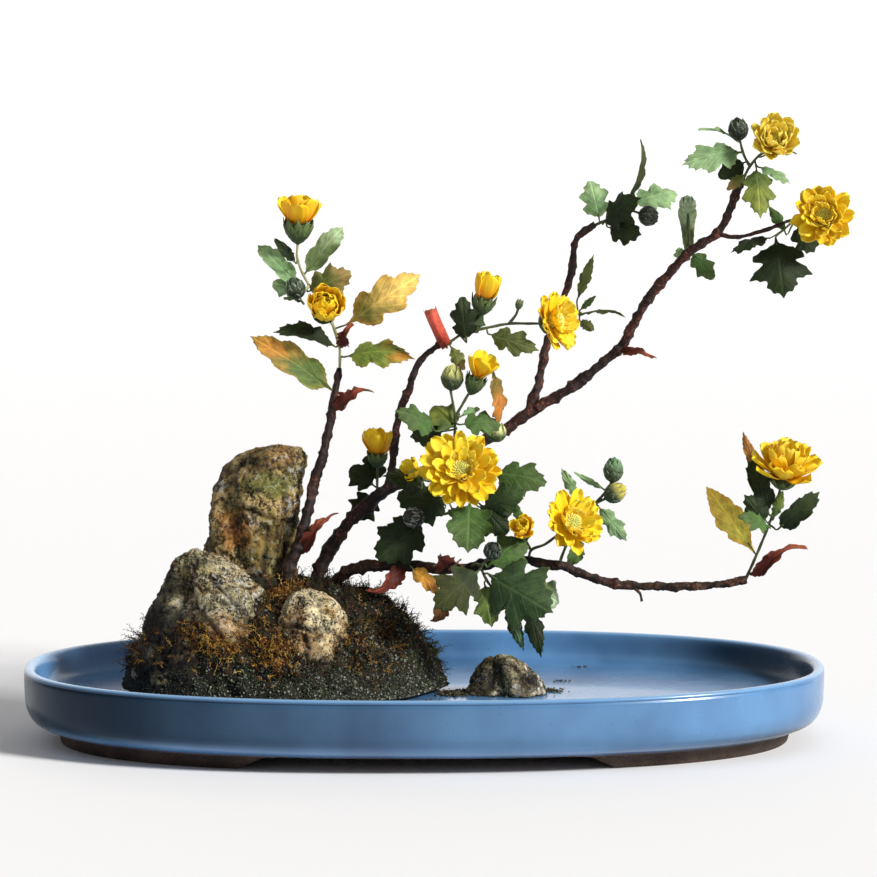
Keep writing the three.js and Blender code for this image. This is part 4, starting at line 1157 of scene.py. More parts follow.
@dataclass(frozen=True)
class Mound:
    """The soil mound with its steep left flank, and the grit and moss on it. A gold spot, where the moss is
    golden, has its x, z, half width, half height and strength."""

    middle: tuple[float, float] = (-60.0, 1.0)
    reach: tuple[float, float] = (67.0, 45.0)
    height: float = 45.0
    floor: float = 19.3
    rim: float = 1.2
    sides: int = 180
    levels: int = 96
    grains: int = 9000
    golden_sprigs: int = 1250
    dark_sprigs: int = 2300
    tries: int = 14000
    lump: float = 13.0
    clod: float = 6.0
    crumb: float = 1.6
    seed: int = 11
    gold_spots: tuple[tuple[float, ...], ...] = (
        (-88, 45, 17, 7, 1.0),
        (-62, 40, 7, 8, 0.8),
        (-118, 39, 10, 6, 0.9),
        (-26, 44, 20, 9, 0.22),
        (-58, 62, 8, 5, 0.5),
        (-12, 34, 15, 7, 0.3),
    )

    def edge(self, angle: Array) -> Array:
        """How far the mound's foot reaches at an angle, as a share of its half size."""
        return 1 + 0.04 * np.sin(4 * angle + 1) + 0.03 * np.sin(7 * angle)

    def top(self, share: Array, angle: Array) -> Array:
        """The mound's height at shares of the way out and angles, as in the part's source.

        Args:
            share: Shares of the way from its middle to its foot.
            angle: Angles round it.

        Returns:
            The heights.
        """
        front = np.maximum(0, -np.sin(angle))
        slope = 1 - share ** (2.8 + 1.7 * np.cos(angle) ** 2 - 1.2 * front)
        shoulder = 1 - 0.1 * np.cos(angle) * share
        lumps = 0.05 * np.sin(5 * angle + share * 9) + 0.04 * np.sin(9 * angle - share * 13) * share
        return self.height * np.maximum(0, slope * shoulder + lumps * slope)

    def place(self, share: Array, angle: Array) -> Array:
        """Points of the mound's upper side.

        Args:
            share: Shares of the way from its middle to its foot.
            angle: Angles round it.

        Returns:
            The points, in layout millimetres.
        """
        reach = share * self.edge(angle)
        x = self.middle[0] + np.cos(angle) * reach * self.reach[0]
        y = self.middle[1] + np.sin(angle) * reach * self.reach[1]
        return np.column_stack([x, y, self.floor + self.rim + self.top(share, angle)])

    def outwards(self, share: Array, angle: Array) -> Array:
        """The directions square to the mound's upper side.

        Args:
            share: Shares of the way out.
            angle: Angles round it.

        Returns:
            The directions, at length 1.
        """
        here = self.place(share, angle)
        along = self.place(np.minimum(share + 0.01, 1), angle) - self.place(np.maximum(share - 0.01, 0), angle)
        around = self.place(share, angle + 0.02) - here
        return unit(np.cross(along, around))

    def relief(self, points: Array, share: Array) -> Array:
        """How far the lumps of the earth stand out at points, fading out at its foot."""
        lumps = grain(points, self.lump, 3, 70) * 1.6 + grain(points, self.clod, 4) * 1.6
        return (lumps + grain(points, self.crumb, 3, 8) * 0.9) * ease(1 - share, 0, 0.08)

    def colours(self, points: Array) -> Array:
        """The earth's colour at points: painted shade, near black, at the left, grey along its foot, olive and
        brown elsewhere.

        Args:
            points: The points.

        Returns:
            Their linear colours.
        """
        olive, brown, black = shade("#1F1F0E"), shade("#25170A"), shade("#0D0C08")
        mixed = blend(olive, brown, grain(points, 9, 3, 5) * 1.6 + 0.5)
        mixed = mixed * (1 + 1.1 * grain(points, 2.6, 3, 12))[:, None]
        low = ease(self.floor + 15 - points[:, 2], 0, 8) * (points[:, 1] < 0)
        mixed = blend(mixed, shade("#1E2017"), low * 0.8)
        # painted shade: near black over the mound's left end
        return np.clip(blend(mixed, black, ease(-points[:, 0], 86, 108) * 0.92), 0, 1)

    def build(self) -> None:
        """Builds the earth, the grit on it, thickest along its foot, and the moss."""
        blank = ball_blank(self.sides, self.levels)
        angle, level = blank.angle, blank.level
        share = np.where(level < 0.1, level / 0.1, 1 - (level - 0.1) / 0.9)
        points = self.place(share, angle)
        under = level < 0.1 - 1e-6
        points[under, 2] = self.floor
        out = self.outwards(np.clip(share, 0.02, 0.98), angle)
        points = points + out * np.where(under, 0, self.relief(points, share))[:, None]
        points[:, 2] = np.maximum(points[:, 2], self.floor)
        assembly = Assembly()
        assembly.add(blank, points, self.colours(points))
        earth = TintedMatter("damp_bonsai_earth", size=1.5, roughness=0.95, depth=0.8)
        hand_over(assembly.build("mound_earth", [earth.material()]), "soil", "soil_mound")
        self.build_gravel()
        self.build_moss()

    def surface(self, share: Array, angle: Array) -> tuple[Array, Array]:
        """Points on the lumpy earth, and the directions square to the mound there.

        Args:
            share: Shares of the way out.
            angle: Angles round it.

        Returns:
            The points and the directions.
        """
        places = self.place(share, angle)
        ways = self.outwards(np.clip(share, 0.02, 0.98), angle)
        return places + ways * self.relief(places, share)[:, None], ways

    def build_gravel(self) -> None:
        """Scatters sharp grit of 0.6 to 2 mm on the mound, thickest and finest along its front foot."""
        random = np.random.default_rng(self.seed)
        blank = crumb_blank()
        assembly = Assembly()
        low = random.random(self.grains) < 0.8
        near = 1 - 0.34 * random.random(self.grains) ** 1.4
        share = np.where(low, near, np.sqrt(random.uniform(0.1, 1, self.grains)))
        angle = np.where(
            low & (random.random(self.grains) < 0.75),
            random.uniform(-math.pi * 0.98, -0.02, self.grains),
            random.uniform(0, 2 * math.pi, self.grains),
        )
        places, ways = self.surface(np.minimum(share, 0.995), angle)
        grey, green, pale, black = shade("#72766A"), shade("#535C40"), shade("#A6A898"), shade("#191813")
        for place, way, fine in zip(places, ways, low):
            size = random.uniform(0.22, 0.46) if fine else random.uniform(0.3, 0.75)
            stretch = random.uniform(0.6, 1.3, 3) * size
            turned = blank.points @ spin(random)
            kind = random.random()
            tint = black if kind < 0.3 else green if kind < 0.64 else grey if kind < 0.96 else pale
            # the last factor paints shade on the grains at the mound's left end
            light = random.uniform(0.55, 1.4) * (1 - 0.8 * ease(np.array(-place[0]), 84, 108))
            assembly.add(blank, place + way * size * 0.45 + turned * stretch, tint * light)
        grit = TintedMatter("mound_grit", size=0.9, roughness=0.85, depth=0.2, contrast=0.35)
        hand_over(assembly.build("gravel_grains", [grit.material()], smooth=False), "soil")

    def golden(self, places: Array) -> Array:
        """How golden the moss is at places: most at the front left and between the stones.

        Args:
            places: The places.

        Returns:
            0 for olive to 1 for golden, for each.
        """
        gild = np.zeros(len(places))
        for x, z, wide, high, much in self.gold_spots:
            off = ((places[:, 0] - x) / wide) ** 2 + ((places[:, 2] - z) / high) ** 2
            gild = np.maximum(gild, much * np.exp(-off))
        return np.where(places[:, 1] > 6, 0, gild)

    def sprig(self, assembly: Assembly, foot: Array, way: Array, length: float, tint: Array) -> None:
        """Grows one feathery sprig: a curved thread with needles along both its sides.

        Args:
            assembly: Where it goes.
            foot: Where it springs from.
            way: The way it grows.
            length: How long it is, in millimetres.
            tint: Its colour.
        """
        random = assembly.random
        thread, needle = rod_blank(3, 2), needle_blank()
        bend = random.normal(0, 0.3, 3) * length
        knots = [foot - way * 0.5, foot + way * length * 0.45 + bend * 0.2, foot + way * length + bend]
        spine = Spine(knots, 9)
        assembly.add(thread, spine.skin(thread, 0.2 * (1.2 - thread.share)), tint)
        rows = spine.table[2:]
        for number, row in enumerate(rows):
            side = row[3:6] * (1 if number % 2 else -1) + row[6:9] * random.normal(0, 0.6)
            out = unit(side + way * random.uniform(0.5, 1.1))
            east, north = cross_axes(out)
            reach = length * random.uniform(0.2, 0.38)
            wide = needle.points * (0.19, 0.19, reach)
            turned = wide @ np.stack([east, north, out])
            assembly.add(needle, row[:3] + turned, tint * random.uniform(0.8, 1.25))

    def build_moss(self) -> None:
        """Grows feathery moss: one piece of golden and rusty sprigs and one of olive and dark ones."""
        random = np.random.default_rng(self.seed + 1)
        gold = (shade("#B4832E"), shade("#8A5A20"), shade("#CBA04C"), shade("#6A3A16"))
        calm = (shade("#3E3E1A"), shade("#181509"), shade("#2A2E12"), shade("#4A3016"))
        kinds = (("moss_golden", gold, self.golden_sprigs), ("moss_dark", calm, self.dark_sprigs))
        share = np.sqrt(random.uniform(0.02, 0.94, self.tries))
        angle = random.uniform(-math.pi, math.pi, self.tries)
        places, ways = self.surface(share, angle)
        gild = self.golden(places)
        bare = 1 - 0.85 * ease(share, 0.8, 0.94) * (places[:, 1] < 0)
        green = (places[:, 0] > -14) & (places[:, 2] < self.floor + 18)
        # painted shade on the mound's left end, and darker from x -38 to -12
        painted_shade_and_dimming = 1 - 0.5 * ease(-places[:, 0], 84, 106) - 0.35 * ease(places[:, 0], -38, -12)
        for name, colours, number in kinds:
            right = 0.35 + 0.65 * (places[:, 0] > -62)
            chance = gild + 0.012 if name == "moss_golden" else (1 - gild) * right
            chosen = np.flatnonzero(random.random(self.tries) < chance * bare)[:number]
            assembly = Assembly(random)
            for k in chosen:
                way = unit(ways[k] * 0.75 + random.normal(0, 0.6, 3))
                way = unit(way + ways[k] * max(0.0, 0.15 - way @ ways[k]))
                tint = shade("#46501E") if green[k] and random.random() < 0.6 else colours[random.integers(4)]
                length = random.uniform(2.6, 5.0) + 3 * gild[k] * random.random()
                self.sprig(assembly, places[k], way, length, tint * painted_shade_and_dimming[k] * random.uniform(0.6, 1.15))
            if name == "moss_dark":
                for path in TENDRILS:
                    thread = rod_blank(3, 3)
                    thin = 0.34 * (1.15 - thread.share)
                    assembly.add(thread, Spine(path, 40).skin(thread, thin), shade("#3A2E16"))
            moss = TintedMatter(f"{name}_threads", size=0.8, roughness=0.9, depth=0.1, contrast=0.3)
            hand_over(assembly.build(name, [moss.material()]), "soil")


TENDRILS = (
    ((-14, -9, 30), (-8, -11, 35), (-3, -12, 40), (-5, -13, 44), (-1.5, -12.5, 45)),
    ((-10, -10, 27), (-2, -12, 31), (3, -12, 37), (6, -12, 36), (5, -12, 33)),
    ((-20, -6, 40), (-15, -8, 47), (-14, -9, 52), (-10, -9, 52)),
    ((-118, -16, 36), (-125, -18, 41), (-130, -19, 40), (-132, -19, 37)),
    ((-116, -14, 40), (-124, -16, 45), (-129, -17, 44)),
    ((-36, -4, 56), (-30, -6, 62), (-27, -7, 61)),
)


@dataclass(frozen=True)
class Litter:
    """Crumbs of earth and scraps of moss on the tray's floor, mostly about the pebble. A heap has its x, y,
    half width, half depth, number of crumbs and their size."""

    floor: float = 19.15
    seed: int = 5
    heaps: tuple[tuple[float, ...], ...] = (
        (13, -6, 9, 8, 260, 1.0),
        (22, 4, 7, 5, 90, 0.8),
        (52, 2, 9, 7, 150, 0.75),
        (36, -13, 15, 3.5, 90, 0.7),
        (60, 28, 6, 4, 26, 0.6),
        (70, 70, 4, 2.5, 12, 0.7),
        (-3, -30, 10, 10, 80, 0.7),
    )

    def build(self) -> None:
        """Scatters the crumbs, each a little sunk into the next."""
        random = np.random.default_rng(self.seed)
        blank = crumb_blank()
        assembly = Assembly()
        tints = (shade("#1D1A12"), shade("#3A3B20"), shade("#4A3216"), shade("#5F6048"), shade("#2B2E1A"))
        for x, y, wide, deep, count, size in self.heaps:
            for _ in range(int(count)):
                off = random.normal(0, 0.5, 2)
                big = size * random.uniform(0.35, 1.1) * math.exp(-0.35 * float(off @ off))
                shape = blank.points @ spin(random) * (random.uniform(0.6, 1.2, 3) * big)
                place = np.array([x + off[0] * wide, y + off[1] * deep, self.floor + big * 0.35])
                shape[:, 2] = np.maximum(shape[:, 2], -big * 0.3)
                tint = tints[random.integers(5)] * random.uniform(0.6, 1.2)
                assembly.add(blank, place + shape, tint)
        earth = TintedMatter("earth_crumbs", size=0.7, roughness=0.95, depth=0.2, contrast=0.4)
        hand_over(assembly.build("tray_litter", [earth.material()], smooth=False), "soil")


def spin(random: Random) -> Array:
    """A random turn, as a matrix."""
    turn, _ = np.linalg.qr(random.normal(0, 1, (3, 3)))
    return turn * np.sign(np.linalg.det(turn))


# wood


@dataclass(frozen=True)
class Stem:
    """One woody stem: its radius at each end and the points it passes through."""

    start: float
    end: float
    path: tuple[Point, ...]


STEMS = {
    "left": Stem(3, 1.4, (
        (-60, -3, 48), (-58, -3, 64), (-57, -3, 74), (-53, -1, 83), (-50, 3, 94), (-47, 7, 107),
        (-43, 11, 120), (-40, 14, 134), (-38, 17, 145), (-36, 20, 156),
    )),
    "main": Stem(3, 1.5, (
        (-49, 2, 47), (-47, 3, 62), (-43, 6, 74), (-38, 9, 83), (-32, 11, 91), (-25, 13, 97),
        (-18, 14, 103), (-9, 15, 108), (4, 17, 114), (20, 19, 122), (34, 20, 129), (44, 20, 136),
        (52, 20, 141), (61, 19, 146), (70, 18, 153), (77, 17, 159), (84, 16, 165), (89, 14, 174),
        (93, 12, 182), (98, 10, 190), (104, 8, 197), (109, 6, 203), (116, 4, 209), (121, 3, 212),
        (126, 2, 217), (128, 0, 222), (130, -1, 227), (134, -3, 238),
    )),
    "side": Stem(1.6, 1.3, (
        (-16, 14, 105), (-14, 14, 112), (-13, 13, 119), (-12, 12, 127), (-11, 11, 135), (-9, 10, 142),
        (-6, 9, 149), (-4, 8, 156), (0, 7, 162), (5, 6, 166), (9, 5, 168),
    )),
    "rise": Stem(1.9, 1.3, (
        (44, 20, 136), (46, 21, 141), (49, 23, 148), (51, 25, 157), (53, 27, 166), (57, 29, 176),
        (61, 31, 188), (64, 32, 198), (65, 33, 208), (67, 33, 212), (74, 33, 217),
    )),
    "twig": Stem(0.9, 0.7, ((125, 2, 214), (131, 0, 213), (137, -2, 214), (146, -4, 217), (153, -6, 220))),
    "low": Stem(2.5, 1.5, (
        (-41, 9, 48), (-40, 6, 60), (-35, 2, 69), (-27, -2, 73), (-16, -5, 74), (-5, -7, 74),
        (8, -9, 73), (19, -10, 74), (32, -10, 76), (43, -9, 77), (51, -8, 75), (58, -8, 74),
        (69, -9, 70), (79, -10, 67), (89, -11, 66), (101, -12, 66), (113, -13, 66), (126, -14, 67),
        (136, -14, 69),
    )),
    "thorn": Stem(0.9, 0.5, ((88, -11, 66), (91, -12, 63), (92, -12, 59.5))),
}


@dataclass(frozen=True)
class Wood:
    """The old woody stems, with swollen leaf scars, lengthwise ribs and scaly bark."""

    nodes: dict[str, tuple[str, ...]] = field(
        default_factory=lambda: {
            "stem_left": ("left",),
            "stem_main": ("main", "side", "rise", "twig"),
            "stem_low": ("low", "thorn"),
        }
    )
    sides: int = 16
    pace: float = 0.95
    scar_gap: float = 8.5
    scar_width: float = 1.1
    knob: float = 3.4
    scale: float = 0.9

    def build(self) -> None:
        """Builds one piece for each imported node."""
        bark = OldBark().material()
        for node, names in self.nodes.items():
            assembly = Assembly()
            for name in names:
                self.grow(assembly, STEMS[name])
            hand_over(assembly.build(f"{node}_bark", [bark]), "bark", node)

    def grow(self, assembly: Assembly, stem: Stem) -> None:
        """Bends one stem along its path.

        Args:
            assembly: Where it goes.
            stem: The stem.
        """
        spine = Spine(stem.path)
        blank = rod_blank(self.sides, max(3, math.ceil(math.sqrt(spine.length / self.pace))))
        share, angle = blank.share, blank.angle
        along = share * spine.length
        radius = stem.start + (stem.end - stem.start) * share
        radius = radius * (
            1 + 0.08 * np.sin(share * len(stem.path) * 2.4) + 0.06 * np.sin(3 * angle + share * 40)
            + 0.05 * np.sin(2 * angle - along * 0.35)
        )
        scar = np.abs((along / self.scar_gap + 0.5) % 1 - 0.5) * self.scar_gap
        side_of = np.round(along / self.scar_gap) * 2.4
        one_sided = 0.14 + 0.34 * np.maximum(0, np.cos(angle - side_of)) ** 2
        swell = np.exp(-((scar / self.scar_width) ** 2)) * one_sided
        radius = radius * (1 + swell)
        plain = spine.skin(blank, radius)
        rough = grain(plain, self.knob, 3, stem.start) * 0.7 + grain(plain, self.scale, 2, 4) * 0.2
        points = spine.skin(blank, radius + rough * min(1, stem.end / 1.2))
        # lighter on the bumps and darker in the dents, a painted shade by relief, and paler on the swollen
        # scars
        light = 1 + rough * 0.9 + swell * 1.2 + grain(points, 9, 3, 40) * 0.8
        # the 0.004 * x term paints shade: the stems grow darker and less red towards the left
        hue_and_painted_shade = grain(points, 13, 2, 77) * 1.6 + 0.35 + 0.004 * points[:, 0]
        tint = blend(np.array([0.5, 0.48, 0.46]), np.array([1.4, 1.04, 0.9]), hue_and_painted_shade)
        mossy = ease(-points[:, 2] + grain(points, 5, 3, 21) * 14, -84, -62)
        tint = blend(tint, np.array([1.0, 1.25, 0.6]), mossy * 0.7)
        assembly.add(blank, points, np.clip(light, 0.35, 1.8)[:, None] * tint)


# leaves


def mirrored(half: Sequence[tuple[float, float]]) -> Array:
    """A leaf's whole outline, up its right side and down its left, from one half."""
    return np.array([*half, *[(s, -t) for s, t in reversed(half[:-1])]])


class Form(Enum):
    """A leaf's half outline from base to tip, as shares of its length and of its half width."""

    LOBED = (
        (0, 0.05), (0.07, 0.08), (0.11, 0.2), (0.16, 0.52), (0.22, 0.84), (0.29, 1.04), (0.35, 1.1),
        (0.39, 0.98), (0.415, 0.82), (0.44, 0.76), (0.48, 0.86), (0.54, 1.04), (0.61, 1.2), (0.665, 1.24),
        (0.7, 1.06), (0.73, 0.8), (0.765, 0.66), (0.81, 0.68), (0.85, 0.64), (0.9, 0.48), (0.95, 0.25), (1, 0),
    )
    CLEFT = (
        (0, 0.04), (0.07, 0.08), (0.12, 0.2), (0.17, 0.52), (0.23, 0.84), (0.3, 1.06), (0.36, 1.14),
        (0.39, 1.0), (0.415, 0.78), (0.44, 0.66), (0.48, 0.82), (0.55, 1.06), (0.62, 1.24), (0.67, 1.3),
        (0.7, 1.1), (0.73, 0.8), (0.76, 0.6), (0.8, 0.62), (0.85, 0.62), (0.89, 0.5), (0.94, 0.3),
        (0.975, 0.14), (1, 0),
    )
    FUNNEL = (
        (0, 0.3), (0.14, 0.42), (0.35, 0.5), (0.52, 0.58), (0.66, 0.74), (0.76, 1.0), (0.83, 1.15),
        (0.87, 0.95), (0.91, 0.5), (0.95, 0.2), (1, 0),
    )
    ROLLED = (
        (0, 0.4), (0.1, 0.7), (0.25, 0.9), (0.45, 1.0), (0.65, 0.94), (0.78, 1.0), (0.84, 1.25), (0.88, 0.75),
        (0.92, 0.9), (0.96, 0.35), (1, 0),
    )
    TORN = (
        (0, 0.3), (0.1, 0.55), (0.19, 1.0), (0.24, 0.72), (0.32, 1.1), (0.4, 0.68), (0.47, 0.86), (0.55, 0.52),
        (0.62, 0.6), (0.7, 0.34), (0.8, 0.3), (0.9, 0.16), (1, 0),
    )
    NARROW = (
        (0, 0.05), (0.12, 0.2), (0.25, 0.66), (0.34, 0.9), (0.4, 0.74), (0.48, 1.06), (0.56, 1.1),
        (0.62, 0.84), (0.7, 0.86), (0.78, 0.66), (0.88, 0.42), (0.95, 0.2), (1, 0),
    )


class Skin(IntEnum):
    """The materials of a piece of foliage, by number."""

    LEAF = 0
    DRY = 1
    STALK = 2
    SCALE = 3


class Facing(Enum):
    """Which way a leaf's upper face looks."""

    FRONT = (0.0, -1.0, 0.15)
    UPFRONT = (0.0, -0.75, 0.65)
    UP = (0.0, -0.3, 1.0)
    RIGHT = (0.8, -0.6, 0.1)


class Tone(Enum):
    """A leaf's colours at its base, at its tip and along its edge, and how far along it begins to turn."""

    PALE = ("#708F60", "#92AE7C", "#84A070", 0.3)
    GREYED = ("#54643A", "#A3BA8E", "#748A5C", 0.45)
    PALING = ("#4A5830", "#BCD2A6", "#88A074", 0.4)
    FRESH = ("#647A3E", "#76883F", "#6A7E42", 0.3)
    GREEN = ("#476430", "#4C6033", "#41582C", 0.3)
    DEEP = ("#34492A", "#364C27", "#2C3D20", 0.3)
    SHADE = ("#263018", "#44461F", "#2F3A1C", 0.2)
    TIPPED = ("#18220F", "#6A8A5E", "#2A3A20", 0.5)
    DARK = ("#1D2911", "#293618", "#19240F", 0.3)
    MOSSY = ("#4A5C2A", "#828A3C", "#5A6C32", 0.2)
    SAGE = ("#545E30", "#626A3C", "#4E582E", 0.3)
    OLIVE = ("#626A34", "#9A8450", "#80703E", 0.45)
    TURNING = ("#76883A", "#E0852C", "#9A8E3C", 0.6)
    GOLD = ("#5E6228", "#F2C86C", "#CE9A40", 0.02)
    RUST = ("#5C7038", "#D08C3C", "#928038", 0.4)
    # LEMON is a yellowed leaf's colour, raised to make up for the shadow that falls on it: partly painted light
    LEMON = ("#8C9E38", "#FFDC60", "#FFB048", -0.2)
    AMBER = ("#E0A340", "#C4803A", "#D09A4C", 0.3)
    BROWNED = ("#665A24", "#B8722E", "#8C662E", 0.2)
    UMBER = ("#6E5428", "#86502A", "#6E4A26", 0.2)
    FLAME = ("#3E2812", "#D0924A", "#8E4E26", 0.15)
    HUSK = ("#4E1C12", "#A0503A", "#66281A", 0.3)
    SCARLET = ("#9C3422", "#E06450", "#742A1C", 0.05)


@dataclass(frozen=True)
class Leaf:
    """One leaf: what it is, its base and tip, its width, colours, form and facing."""

    what: str
    base: Point
    tip: Point
    width: float
    tone: Tone
    form: Form = Form.LOBED
    facing: Facing = Facing.FRONT


@dataclass(frozen=True)
class Bud:
    """One bud: its foot, the way it points, its radius and height, and the colour of its tip."""

    foot: Point
    direction: Point
    radius: float
    height: float
    tip: str = "#7F8F5A"
    body: str = "#46563A"
    rim: str = "#8E9482"


@dataclass(frozen=True)
class Spray:
    """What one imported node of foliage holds: its slot, leaves, stalks and buds."""

    slot: str
    leaves: tuple[Leaf, ...]
    stalks: tuple[tuple[Point, ...], ...] = ()
    buds: tuple[Bud, ...] = ()
    stalk: str = "#47502A"


